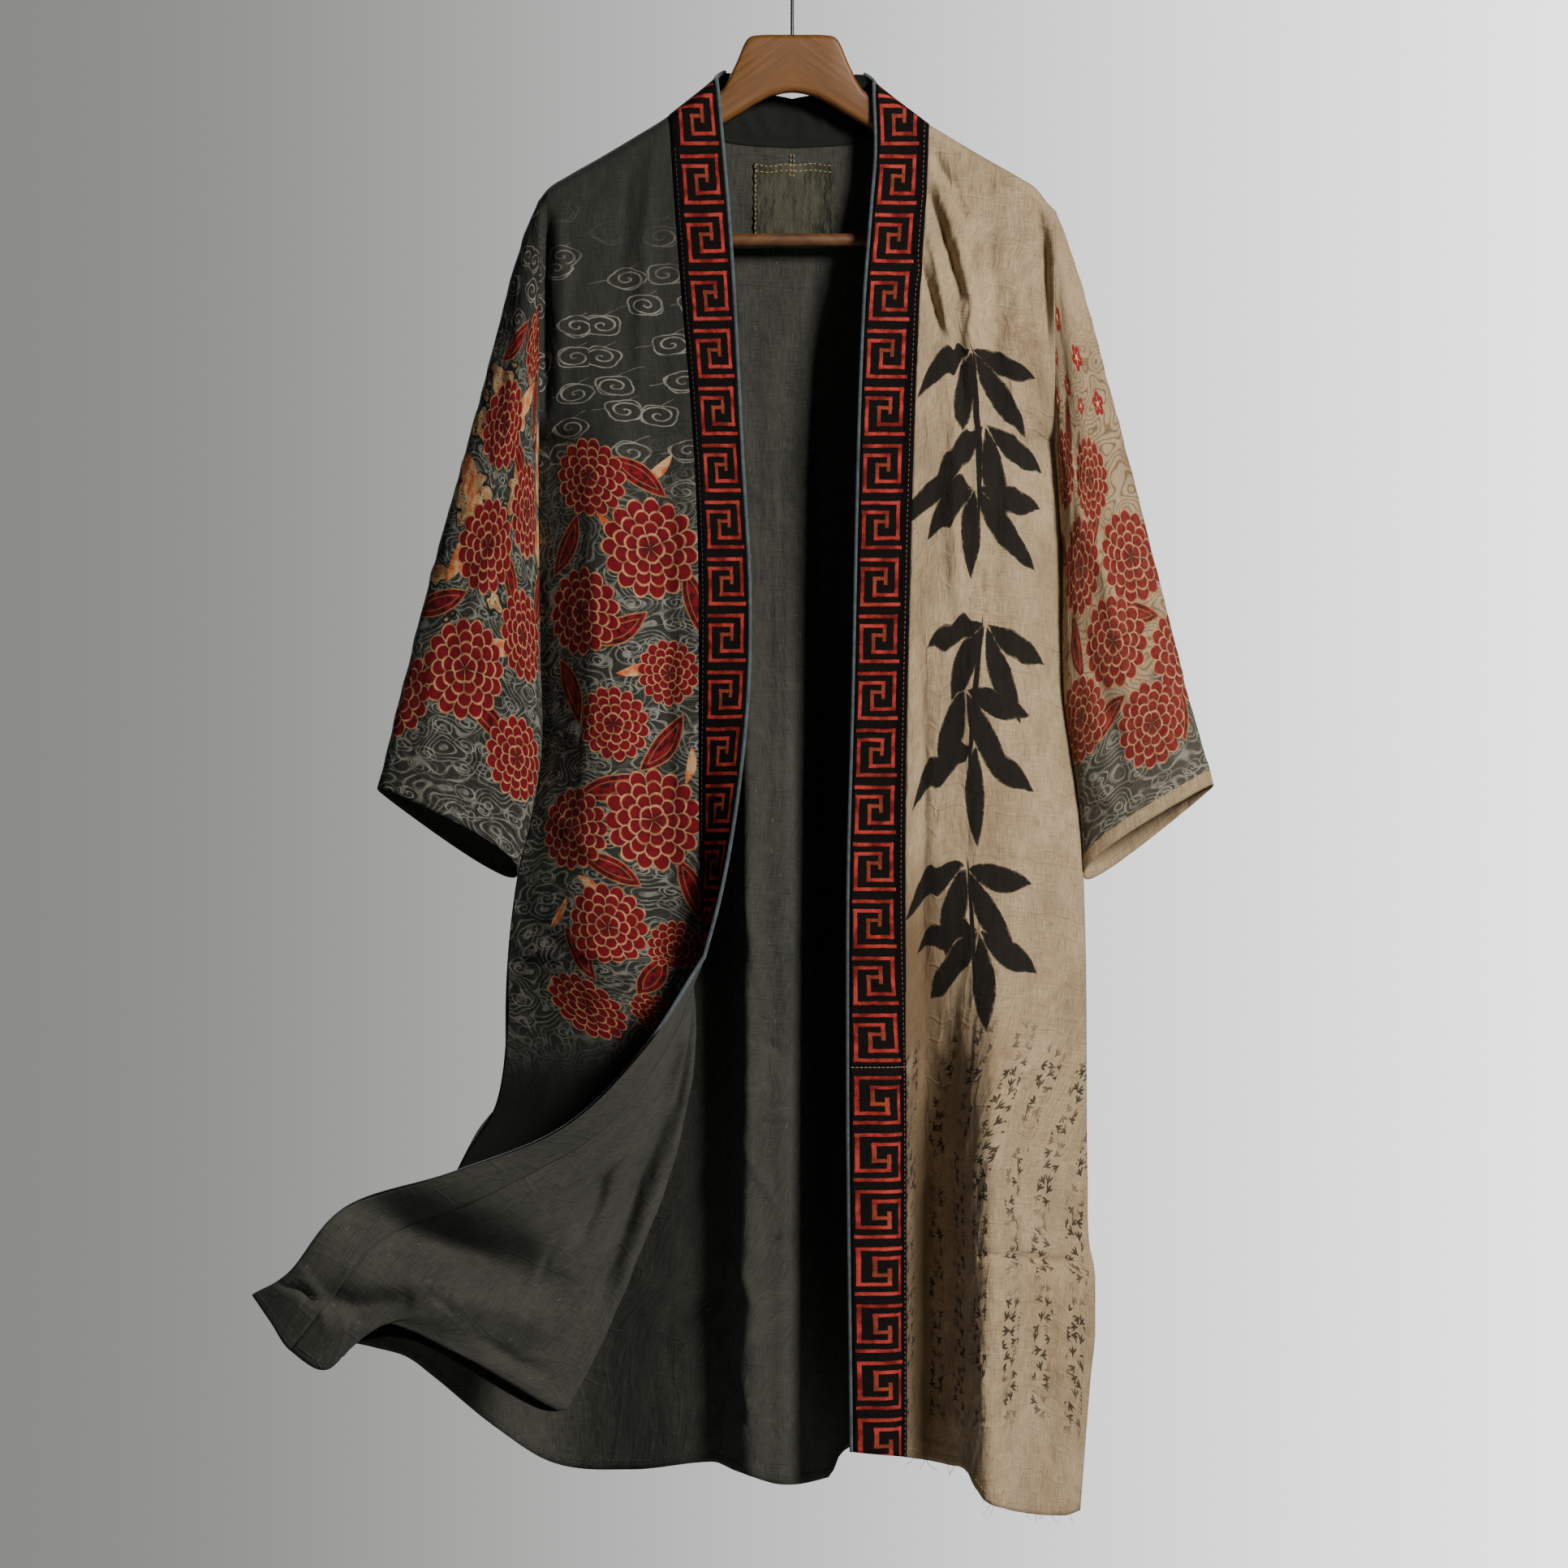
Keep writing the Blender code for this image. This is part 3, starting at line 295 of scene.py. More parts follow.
FRONT_TAN_CREASES = metres((
    (((124, -224), (137, -258), (148, -296), (154, -318)), 4.6, -9.2),
    (((132, -214), (150, -262), (162, -310), (160, -372)), 6, 8),
    (((117, -288), (127, -318), (135.5, -351)), 4.5, -10),
    (((124, -262), (134, -300), (142, -350)), 3.5, 5),
    (((148.7, -245), (156, -258), (158.4, -268)), 2.8, 5.5),
    (((147, -192.5), (165, -198), (179, -207)), 2.8, 4),
    (((128, -186), (138, -206), (150, -222)), 5, -6),
    (((160, -310), (166, -326), (163, -342)), 2.8, 4.5),
    (((156, -340), (153, -380), (158, -430)), 6, -6),
    (((178, -250), (186, -330), (180, -440)), 8, -4),
    (((150, -440), (146, -520), (152, -610)), 8, 5),
    (((188, -470), (182, -580), (190, -690)), 9, -5),
    (((148, -232), (160, -254)), 3, -3.5),
    (((150, -243), (166, -262)), 2.6, 3.1),
    (((196, -222), (206, -330), (202, -520)), 9, 2.4),
    (((227.5, -236), (232, -290), (236, -360)), 7.5, -12),
    (((170, -560), (164, -700), (172, -900)), 9, 2),
    (((118, -620), (120, -830), (118, -960)), 6, -4.4),
    (((230, -650), (224, -800), (230, -960)), 9, -1.8),
    (((258, -790), (225, -830), (190, -820)), 5, 2.6),
    (((262, -930), (228, -960), (196, -950)), 5, 2.2),
    (((246, -1218), (244, -1262), (245, -1312)), 2.6, 3.4),
    (((172, -1192.5), (215, -1196), (274, -1203)), 4.6, -8.5),
    (((164, -1345), (178, -1343), (192, -1344)), 2, -2.6),
    (((107, -1352), (130, -1360), (154, -1364)), 2.4, -2.6),
    (((175, -1230), (172, -1290), (176, -1345)), 5, 3.5),
    (((238, -1214), (232, -1250), (236, -1300)), 4.5, -2.2),
))
# Creases of the swept front's flap, where the inside of the cloth faces the viewer
FLAP_CREASES = metres((
    (((-405, -1144), (-350, -1169), (-295, -1190), (-235, -1210)), 30, -47),
    (((-330, -1222), (-270, -1236), (-215, -1256)), 20, 12),
    (((-102, -1010), (-121, -1075), (-141, -1125), (-166, -1200), (-176, -1235)), 12.5, -28),
    (((-168, -1120), (-182, -1150), (-196, -1180)), 9, -14),
    (((-97, -962), (-113, -1004), (-127, -1041), (-150, -1072), (-181, -1115), (-203, -1146),
      (-238, -1180)), 2.8, 3.6),
    (((-93, -966), (-108, -1008), (-122, -1045), (-145, -1077), (-175, -1119), (-196, -1149)),
     8.5, -16),
    (((-118, -1060), (-160, -1110), (-205, -1150), (-232, -1170)), 3, -2.4),
    (((-196, -1090), (-228, -1118), (-262, -1136)), 3.5, 2),
    (((-435, -1228), (-395, -1240), (-345, -1232)), 13, -18),
    (((-285, -1268), (-252, -1290), (-220, -1303)), 8, -6),
    (((-204, -1166), (-222, -1192), (-232, -1222)), 3, -2.2),
    (((-190, -1215), (-216, -1200), (-236, -1214)), 2.6, 1.8),
    (((-196, -1262), (-214, -1246), (-238, -1270)), 2.6, 1.8),
    (((-300, -1186), (-280, -1204), (-262, -1232)), 3, 1.8),
    (((-385, -1176), (-402, -1196), (-412, -1215)), 3, 2),
    (((-350, -1206), (-330, -1228), (-300, -1250)), 3.4, -2),
    (((-470, -1219), (-446, -1224), (-430, -1240)), 3.6, -5),
    (((-452, -1205), (-434, -1226), (-424, -1262)), 4.5, 3.6),
    (((-138, -1085), (-150, -1106), (-148, -1128)), 3, 2.2),
    (((-152, -1190), (-170, -1206), (-186, -1236)), 3.4, -2.6),
))

# Hems: thousandths of the width from the viewer's left (the back) or from the side seam (the
# tan front), height
BACK_HEM = metres((
    (0, -1272), (35, -1277), (85, -1287), (200, -1347), (280, -1381), (390, -1388), (500, -1381),
    (530, -1389), (600, -1402), (645, -1397), (660, -1392), (668, -1377), (720, -1369),
    (850, -1377), (1000, -1382),
))
TAN_HEM = metres((
    (0, -1425), (70, -1430), (200, -1429), (340, -1424), (440, -1416), (490, -1402), (520, -1390),
    (600, -1384), (1000, -1372),
))
TURN_HEIGHT = -0.921
BAND_JOIN = -1.019
JOIN_LEVEL_ROWS = 45

# Tuck across the tan front: height at the side, height at its inner end, share where it ends
TUCK = (-1.206, -1.195, 0.50)
TUCK_STEP = 0.0040

# The swept front, a row for each section from the turn to the hem. Side seam, the hollow
# beside it, the ridge where the cloth folds back, three places on the flap that lies nearest
# the viewer, and the neckband's seam and free edge
SWEEP_COLUMNS = ("side", "hollow", "ridge", "flap_a", "flap_b", "flap_c", "seam", "edge")
SWEEP = metres((
    ((-260, -987), (-186, -40, -993), (-88, -66, -999), (-96, -83, -1001),
     (-103, -93, -1002), (-110, -101, -1002.5), (-115, -106, -1003), (-135, -147, -1004)),
    ((-270, -1055), (-197, -42, -1062), (-99, -70, -1070), (-122, -94, -1073),
     (-140, -109, -1076), (-157, -121, -1077), (-172, -130, -1077), (-209, -156, -1076)),
    ((-300, -1105), (-220, -44, -1117), (-115, -74, -1129), (-160, -100, -1141),
     (-200, -121, -1147), (-238, -138, -1145), (-274, -150, -1136), (-309, -160, -1117)),
    ((-333, -1167), (-249, -46, -1178), (-140, -78, -1192), (-204, -107, -1210),
     (-263, -130, -1210), (-320, -146, -1197), (-372, -156, -1177), (-407, -157, -1149)),
    ((-382, -1229), (-288, -47, -1238), (-171, -83, -1266), (-250, -115, -1266),
     (-323, -138, -1246), (-380, -148, -1238), (-421, -150, -1233), (-458, -146, -1208)),
    ((-401.8, -1272), (-348, -38, -1270), (-206, -90, -1333), (-300, -122, -1285),
     (-382, -138, -1254), (-424, -131, -1297), (-458, -127, -1279), (-492, -126, -1229)),
))
TURN_SHARES = {
    "side": 0.0, "hollow": 0.5, "before": 0.88, "ridge": 0.94, "after": 0.955,
    "flap_a": 0.965, "flap_b": 0.975, "flap_c": 0.988, "seam": 1.0,
}
FOLD_RADIUS = 0.011
RIDGE_BEFORE = 2.2 * FOLD_RADIUS
RIDGE_AFTER = 0.9 * FOLD_RADIUS
BAND_BULGE = 0.002

# Sleeves, a row for each ring from the armhole to the cuff: outer point, inner point, half
# depth, and how far the front hangs above the back
SLEEVE_DARK = metres((
    ((-231, -232), (-231, -448), ARMHOLE, 0),
    ((-245, -266), (-234.5, -486), 24, 0),
    ((-262, -326), (-234.5, -536), 26, 0),
    ((-280, -396), (-233.5, -590), 28, 0),
    ((-300, -468), (-233, -648), 29, 1),
    ((-323, -551), (-232, -708), 30, 3),
    ((-346, -640), (-236, -762), 30, 6),
    ((-363, -708), (-245, -806), 29, 9),
    ((-378, -767), (-255, -843), 27, 11),
))
SLEEVE_TAN = metres((
    ((240, -241), (240, -448), ARMHOLE, 0),
    ((253, -276), (246, -490), 24, 0),
    ((271, -334), (250, -540), 26, 0),
    ((288, -400), (250.8, -594), 28, 0),
    ((308, -474), (251, -650), 29, 1),
    ((330, -559), (254.5, -704), 30, 3),
    ((351, -646), (261.5, -758), 30, 5),
    ((368, -709), (266.5, -800), 29, 7),
    ((384, -764), (268.5, -846), 26, 9),
))

# Back of the neck: thousandths of the way to a shoulder, depth and height of the seam with the
# back panel and of the free edge above it
NECK_COLUMNS = ("share", "seam_y", "seam_z", "edge_y", "edge_z")
NECK = metres((
    (1000, 0, -154, 0, -122),
    (995, 4.7, -154.7, 4.7, -121.2),
    (975, 9.7, -157.5, 9.7, -119.6),
    (940, 11.5, -161, 12, -117.6),
    (860, 12.8, -166.5, 14.5, -115.2),
    (700, 15, -173.5, 18, -116.5),
    (450, 17.2, -180, 21.2, -130),
    (0, 18, -183.5, 23, -138.5),
))

# Wrinkles of the neckband behind the neck, seen from inside
COLLAR_CREASES = metres((
    (((-62, -146), (-55, -160), (-56, -176)), 3, 2.2),
    (((-47, -150), (-38, -164), (-30, -180)), 3.2, 3.2),
    (((-30, -144), (-26, -158), (-18, -176)), 2.8, 2.5),
    (((-12, -146), (-10, -166)), 3, -2.2),
    (((6, -144), (14, -160), (13, -181)), 3.2, 3.2),
    (((24, -146), (30, -162), (28, -180)), 3, 2.9),
    (((44, -148), (50, -166)), 3, 2.2),
    (((-50, -168), (-20, -172), (20, -171)), 2.2, 1.3),
))
COLLAR_ROWS = 26

# Creases of the sleeves
SLEEVE_DARK_CREASES = metres((
    (((-236, -300), (-250, -360), (-262, -470)), 8, 5.1),
    (((-252, -290), (-272, -380)), 7, -3.7),
    (((-240, -520), (-276, -560), (-300, -640)), 9, 4.4),
    (((-238, -610), (-262, -660), (-300, -760)), 9, -4.4),
    (((-310, -560), (-330, -660), (-336, -780)), 10, 4.1),
    (((-246, -730), (-280, -770)), 8, 3.1),
    (((-268, -450), (-292, -520)), 6, 2.4),
))
SLEEVE_TAN_CREASES = metres((
    (((244, -300), (254, -360), (268, -470)), 8, 5.1),
    (((258, -290), (276, -370)), 6, -4.1),
    (((256, -500), (288, -580), (304, -680)), 9, 4.8),
    (((262, -620), (290, -700), (306, -790)), 8, -4.4),
    (((318, -540), (338, -650), (350, -770)), 10, 4.1),
    (((270, -760), (300, -790)), 7, 3.1),
    (((280, -430), (304, -520)), 6, 2.4),
))

# Half of the hanger's board, a row for each section from the middle to the end of an arm:
# its top and its foot
YOKE_SECTIONS = metres((
    ((0, -80), (0, -132.5)), ((12, -80), (7, -133.2)), ((23.5, -80), (13, -134.5)),
    ((33, -80.6), (20, -136.2)), ((38.5, -82), (25, -138.5)), ((42.5, -86), (30, -141.3)),
    ((46.2, -93.5), (36, -144.5)), ((50, -103), (41.5, -148)), ((54.5, -112.5), (47, -151.5)),
    ((59, -122), (54, -155.5)), ((68, -133), (60, -159.3)), ((90.5, -140.5), (78, -169)),
    ((110.5, -156.5), (108, -184)), ((142.5, -176.5), (140, -204)), ((173.5, -195), (171, -222.5)),
    ((202.5, -211.5), (195, -237)), ((211, -218), (199.5, -243)), ((215, -226), (198.5, -250)),
    ((216, -240), (198.5, -256)), ((216, -252), (198.5, -262)), ((215, -264), (199, -268)),
    ((211.5, -273), (200.5, -272)), ((208.5, -274.8), (203.5, -274.8)),
))

# Printed shapes on the cloth's own lengths, in millimetres. Flowers and blooms: across, down,
# radius, turn. Sprays and flames: across, down, half length, half width, turn. On the fronts
# across runs from the neckband's seam and down from the hook's height. On the sleeves across
# runs round from the underarm over the front, and down is the distance from the cuff.
DARK_FLOWERS = (
    (102, 500, 36, 0.3), (46, 560, 46, 1.3), (116, 622, 40, 0.8), (30, 672, 30, 2.0),
    (82, 722, 34, 0.5), (44, 806, 46, 2.6), (124, 820, 38, 1.1), (88, 906, 38, 1.9),
    (26, 922, 26, 0.2), (134, 986, 34, 0.6), (68, 1004, 28, 2.2),
)
DARK_SPRAYS = (
    (56, 496, 32, 10.5, 2.6), (134, 560, 32, 10.5, 1.0), (8, 606, 30, 10, 1.8),
    (80, 634, 34, 11, 0.5), (132, 694, 34, 11, 2.0), (36, 736, 34, 11, 0.9),
    (88, 778, 32, 10.5, 0.4), (12, 868, 30, 10, 1.9), (86, 856, 32, 10.5, 2.8),
    (52, 954, 32, 10.5, 0.8), (118, 936, 30, 10, 2.1),
)
DARK_FLAMES = (
    (36, 486, 20, 5, 0.7), (86, 546, 18, 4.5, 2.2), (62, 668, 20, 5, 0.4), (10, 756, 18, 4.5, 1.4),
    (104, 874, 18, 4.5, 2.5), (140, 896, 18, 4.5, 0.9),
)
SLEEVE_FLOWERS = (
    (105, 445, 36, 0.4), (150, 355, 42, 1.2), (62, 300, 42, 0.2), (132, 245, 44, 2.0),
    (50, 190, 40, 1.0), (120, 132, 46, 0.7), (40, 82, 36, 2.4), (185, 85, 42, 1.6),
    (295, 400, 42, 0.5), (340, 280, 46, 1.5), (262, 200, 44, 0.9), (350, 110, 44, 2.2),
    (262, 80, 34, 0.1),
)
SLEEVE_SPRAYS = (
    (70, 392, 34, 11.5, 1.2), (170, 430, 32, 11, 2.3), (100, 330, 34, 11.5, 0.5),
    (16, 240, 34, 11.5, 1.9), (86, 226, 34, 11.5, 0.9), (176, 180, 36, 12, 2.6),
    (80, 96, 32, 11, 0.3), (310, 340, 36, 12, 1.1), (306, 150, 36, 12, 2.0),
)
SLEEVE_FLAMES = (
    (30, 360, 34, 12, 1.3), (110, 392, 34, 11, 2.5), (192, 290, 36, 12, 0.8),
    (12, 300, 28, 9.5, 2.1), (172, 228, 32, 10, 1.7), (86, 170, 26, 8, 2.9),
    (330, 210, 34, 11, 0.5),
)
TAN_SLEEVE_FLOWERS = (
    (50, 345, 36, 0.4), (122, 312, 38, 1.5), (66, 250, 44, 0.8), (154, 225, 44, 2.1),
    (96, 165, 42, 1.2), (30, 125, 36, 0.3), (170, 120, 42, 1.9), (108, 78, 38, 2.7),
    (296, 300, 42, 0.6), (266, 180, 44, 1.6), (350, 130, 40, 0.2), (288, 80, 34, 2.3),
)
TAN_SLEEVE_SPRAYS = (
    (92, 370, 30, 10.5, 1.1), (14, 290, 32, 11, 2.2), (104, 262, 32, 11, 0.6),
    (134, 180, 30, 10.5, 2.5), (44, 186, 32, 11, 1.6), (64, 104, 30, 10, 0.4),
    (146, 74, 28, 10, 1.3), (320, 230, 34, 11, 0.9),
)
TAN_SLEEVE_BLOOMS = (
    (124, 462, 15, 0.2), (88, 436, 10, 1.0), (156, 416, 14, 0.6), (112, 402, 12, 1.4),
    (62, 404, 13, 0.9), (178, 366, 13, 0.1), (136, 376, 9, 1.9), (300, 420, 15, 0.5),
    (340, 370, 13, 1.2), (260, 360, 12, 0.8),
)
# Brushed bamboo on the tan front: where each spray of leaves starts, across and down, and
# the degrees below level that its leaves point to
BRUSH_SPRAYS = (
    ((60, 392), (12, 52, 98, 150)), ((74, 462), (28, 74, 128)), ((66, 520), (8, 46, 92, 138, 172)),
    ((80, 644), (22, 66, 116, 158)), ((58, 704), (14, 58, 104)), ((72, 752), (32, 88, 142)),
    ((60, 866), (10, 54, 102, 152)), ((78, 922), (30, 76, 124, 166)),
)
BRUSH_HALF_LENGTHS = (36, 47, 41, 33, 44)
BRUSH_HALF_WIDTH = 12.6
BRUSH_START = 1.06
BRUSH_STEMS = (
    (67, 470, 92, 3.6, 1.50), (70, 716, 82, 3.6, 1.66), (69, 920, 66, 3.6, 1.44),
)

# Inside patch below the neck
PATCH_ROWS = 50
PATCH_COLUMNS = 54
PATCH_LEFT = -0.035
PATCH_RIGHT = 0.039
PATCH_TOP = -0.196
PATCH_FOOT = -0.2655
PATCH_HEIGHTS = 60
PATCH_WAVER = 0.0006
PATCH_WAVER_TURN = 700
PATCH_RIPPLE = 0.0009
PATCH_STITCH_ROWS = (1, 5)
PATCH_TACK = slice(0, 10)
TACK_ABOVE = 0.009
PATCH_TACK_COLUMNS = (24, 26)

# Sewing. A stitch is its length, the gap after it and its radius
FINE_STITCH = (0.0030, 0.0016, 0.00035)
PATCH_STITCH = (0.0034, 0.0011, 0.0005)
JOIN_STITCH = (0.0036, 0.0003, 0.0005)
STITCH_LIFT = 0.00012
STITCH_BATCH = 30
CUFF_HEM = 0.012
BAND_STITCHES_FROM = 12
LOOSE_THREADS = 14
THREAD_MARGIN = 3
THREAD_REACHES = (0.004, 0.013)
THREAD_LEAN = 0.6
THREAD_CURL = 0.4
THREAD_RADIUS = 0.00022
THREAD_COLUMN_SEED = 4
THREAD_SEED = 9


def brush_leaves():
    """Rows of pointed leaves that fan out below each start of a spray.

    A leaf's middle lies BRUSH_START times its half length from that start.
    """
    rows = []
    for (across, down), degrees in BRUSH_SPRAYS:
        for half, turn in zip(BRUSH_HALF_LENGTHS, np.radians(degrees)):
            reach = BRUSH_START * half
            middle = (across + reach * math.cos(turn), down + reach * math.sin(turn))
            rows.append((*middle, half, BRUSH_HALF_WIDTH, turn))
    return rows


def smooth(place, keys, values):
    """Cubic curve through values at rising or falling keys, flat beyond both ends."""
    keys = np.asarray(keys, float)
    values = np.asarray(values, float)
    if keys[0] > keys[-1]:
        keys = keys[::-1]
        values = values[::-1]
    place = np.clip(np.asarray(place, float), keys[0], keys[-1])
    slope = np.diff(values, axis=0) / column(np.diff(keys), values)
    tangent = np.concatenate([slope[:1], (slope[1:] + slope[:-1]) / 2, slope[-1:]])
    if values.ndim == 1:
        tangent[1:-1][slope[1:] * slope[:-1] <= 0] = 0
    cell = np.clip(np.searchsorted(keys, place) - 1, 0, len(keys) - 2)
    width = keys[cell + 1] - keys[cell]
    t = (place - keys[cell]) / width
    parts = (2 * t**3 - 3 * t**2 + 1, (t**3 - 2 * t**2 + t) * width,
             3 * t**2 - 2 * t**3, (t**3 - t**2) * width)
    knots = (values[cell], tangent[cell], values[cell + 1], tangent[cell + 1])
    return sum(column(part, values) * knot for part, knot in zip(parts, knots))


def column(numbers, values):
    numbers = np.asarray(numbers)
    return numbers[..., None] if values.ndim > 1 else numbers


def line(table, place):
    """Second column of a two-column table, read smoothly by its first."""
    rows = np.array(table)
    return smooth(place, rows[:, 0], rows[:, 1])


def mix(a, b, share):
    return a + (b - a) * share


def ease(share):
    share = np.clip(share, 0, 1)
    return share * share * (3 - 2 * share)


def unit(vectors):
    return vectors / np.maximum(np.linalg.norm(vectors, axis=-1, keepdims=True), 1e-12)


def to_depth(points):
    """Front-view places brought to their own depth, as the eye sees them."""
    points = np.array(points, float)
    closer = 1 + points[..., 1] / EYE_DISTANCE
    points[..., 0] *= closer
    points[..., 2] = EYE_HEIGHT + (points[..., 2] - EYE_HEIGHT) * closer
    return points


def fold_rise(folds, x, z):
    """How far the large folds lift the cloth to the viewer."""
    rise = np.zeros_like(x)
    for row in folds:
        fold = dict(zip(FOLD_COLUMNS, row))
        down = ease((fold["start"] - z) / (fold["start"] - fold["full"]))
        middle = mix(fold["top"], fold["hem"], down)
        rise += fold["rise"] * down * np.exp(-(((x - middle) / fold["width"]) ** 2))
    return rise


def distance_along(x, z, way):
    """Distance of each place from a crease's line, and its share of the line's length."""
    way = np.array(way)
    lengths = np.linalg.norm(np.diff(way, axis=0), axis=1)
    starts = np.concatenate([[0], np.cumsum(lengths)])
    nearest = np.full(x.shape, 1e9)
    share = np.zeros(x.shape)
    for start, a, b, length in zip(starts, way[:-1], way[1:], lengths):
        along = ((x - a[0]) * (b[0] - a[0]) + (z - a[1]) * (b[1] - a[1])) / length**2
        along = np.clip(along, 0, 1)
        away = np.hypot(x - mix(a[0], b[0], along), z - mix(a[1], b[1], along))
        closer = away < nearest
        nearest = np.where(closer, away, nearest)
        share = np.where(closer, (start + along * length) / starts[-1], share)
    return nearest, share


def crease_rise(creases, x, z):
    """How far the creases lift the cloth, each one fading out towards its ends."""
    rise = np.zeros_like(x)
    for row in creases:
        crease = dict(zip(CREASE_COLUMNS, row))
        away, share = distance_along(x, z, crease["way"])
        fade = np.sin(np.clip(share * 0.92 + 0.04, 0, 1) * math.pi) ** CREASE_FADE_POWER
        rise += crease["rise"] * fade * np.exp(-((away / crease["width"]) ** 2))
    return rise


def ripple(a, b, seed, length, stretch=1.0, waves=14):
    """Soft uneven waviness between -1 and 1, from seeded waves of about one length."""
    chance = np.random.RandomState(seed)
    total = np.zeros_like(a)
    for _ in range(waves):
        angle = chance.uniform(0, math.tau)
        pitch = length * chance.uniform(0.6, 1.8)
        turn = chance.uniform(0, math.tau)
        way = a * math.cos(angle) + b * math.sin(angle) / stretch
        total += np.sin(math.tau * way / pitch + turn)
    return total / math.sqrt(waves)


def armhole_depth(z, top):
    """Depth of the body's side edge: open at the armhole, closed at the side seam."""
    middle = (top + ARMHOLE_BOTTOM) / 2
    half = (top - ARMHOLE_BOTTOM) / 2
    round_share = np.clip(1 - ((z - middle) / half) ** 2, 0, 1)
    return np.maximum(SIDE_DEPTH, ARMHOLE_DEPTH * np.sqrt(round_share))


def body_depth(z, drop, share_from_side, shoulder_tip, depths):
    """Distance of a front or back panel from the middle plane."""
    full = line(depths, drop)
    side = armhole_depth(z, shoulder_tip)
    rounding = mix(SHOULDER_ROUNDING, SIDE_ROUNDING, ease(drop / ROUNDING_DROP))
    across = np.sin(np.clip(share_from_side / rounding, 0, 1) * math.pi / 2)
    saddle = np.sqrt(np.clip(1 - (1 - np.clip(drop / SADDLE_DROP, 0, 1)) ** 2, 0, 1))
    body = HALF_SEAM + (full - HALF_SEAM) * saddle
    depth = mix(side, body, across)
    return np.where(drop <= 0, HALF_SEAM, depth)


def fade_at_side(share_from_side):
    return ease(share_from_side / SIDE_FADE)


def front_row(down, side, seam, edge, hem_height, folds, creases, turn=None):
    """One section of a front: the panel's curve and the neckband's curve."""
    across = np.linspace(0, 1, DENSE)
    on_panel = across <= PANEL_SHARE
    band = np.clip((across - PANEL_SHARE) / (1 - PANEL_SHARE), 0, 1)
    panel = np.clip(across / PANEL_SHARE, 0, 1)
    tip = side[0][1]
    top_seam = seam[0][1]
    top_edge = edge[0][1]
    top_x = np.where(on_panel, mix(tip, top_seam, panel), mix(top_seam, top_edge, band))
    top_z = line(SHOULDER, np.abs(top_x))
    z = mix(top_z, hem_height(across), down)
    x_seam = line(seam, z)
    x = np.where(on_panel, mix(line(side, z), x_seam, panel), mix(x_seam, line(edge, z), band))
    drop = top_z - z
    depth = body_depth(z, drop, panel, line(SHOULDER, abs(tip)), FRONT_DEPTH)
    shown = fade_at_side(panel) * ease(drop / FOLD_FADE_DROP)
    depth = depth + fold_rise(folds, x, z) * shown
    depth = depth + crease_rise(creases, x, z) * shown * (1 - band)
    if turn:
        depth = depth + line(turn, z) * band
    points = np.stack([x, -depth, z], axis=1)
    split = int(round(PANEL_SHARE * (DENSE - 1)))
    return points[: split + 1], points[split:]


def dark_upper_row(down):
    return front_row(
        down, LEFT_SIDE, SEAM_DARK, EDGE_DARK,
        lambda across: np.full_like(across, TURN_HEIGHT), FRONT_DARK_FOLDS, FRONT_DARK_CREASES, EDGE_TURN,
    )


def tan_row(down):
    panel, band = front_row(
        down, RIGHT_SIDE, SEAM_TAN, EDGE_TAN, lambda across: line(TAN_HEM, across),
        FRONT_TAN_FOLDS, FRONT_TAN_CREASES,
    )
    share = np.linspace(0, 1, len(panel))
    tuck = mix(TUCK[0], TUCK[1], share / TUCK[2])
    below = ease((tuck - panel[:, 2]) / TUCK_FOLD) * ease((TUCK[2] - share) / TUCK_FADE)
    panel[:, 1] -= TUCK_STEP * below * fade_at_side(share)
    return panel, band


def through(points, count):
    """Smooth curve through points in space."""
    points = np.asarray(points, float)
    steps = np.linalg.norm(np.diff(points, axis=0), axis=1)
    keys = np.concatenate([[0], np.cumsum(np.sqrt(steps))])
    return smooth(np.linspace(0, keys[-1], count), keys, points)


def sweep_controls():
    """Control points of every section of the swept front, the turn first."""
    panel, band = dark_upper_row(1.0)
    last = len(panel) - 1
    start = {name: panel[int(last * share)] for name, share in TURN_SHARES.items()}
    start["middle"] = band[len(band) // 2]
    start["edge"] = band[-1]
    rows = [start]
    for values in SWEEP:
        row = dict(zip(SWEEP_COLUMNS, (np.array(value, float) for value in values)))
        row["side"] = np.array([row["side"][0], -SIDE_DEPTH, row["side"][1]])
        row["before"] = row["ridge"] + np.array([-RIDGE_BEFORE, FOLD_RADIUS, 0])
        row["after"] = row["ridge"] + np.array([-RIDGE_AFTER, -FOLD_RADIUS, 0])
        row["middle"] = mix(row["seam"], row["edge"], 0.5) + np.array([0, -BAND_BULGE, 0])
        rows.append({name: row[name] for name in start})
    return rows


def dark_sweep_row(down, controls):
    """One section of the swept part: down is 0 at the turn and 1 at the hem."""
    place = down * (len(controls) - 1)
    keys = np.arange(len(controls))
    point = {
        name: smooth(place, keys, np.array([row[name] for row in controls]))
        for name in controls[0]
    }
    curve = through(list(point.values()), 3 * DENSE)
    split = int(np.argmin(np.linalg.norm(curve - point["seam"], axis=1)))
    ridge = int(np.argmin(np.linalg.norm(curve - point["ridge"], axis=1)))
    past_ridge = (np.arange(len(curve)) - ridge) / RIDGE_FADE_POINTS
    shown = ease(past_ridge) * ease(down / FLAP_FADE)
    curve[:, 1] -= crease_rise(FLAP_CREASES, curve[:, 0], curve[:, 2]) * shown
    return curve[: split + 1], curve[split:]


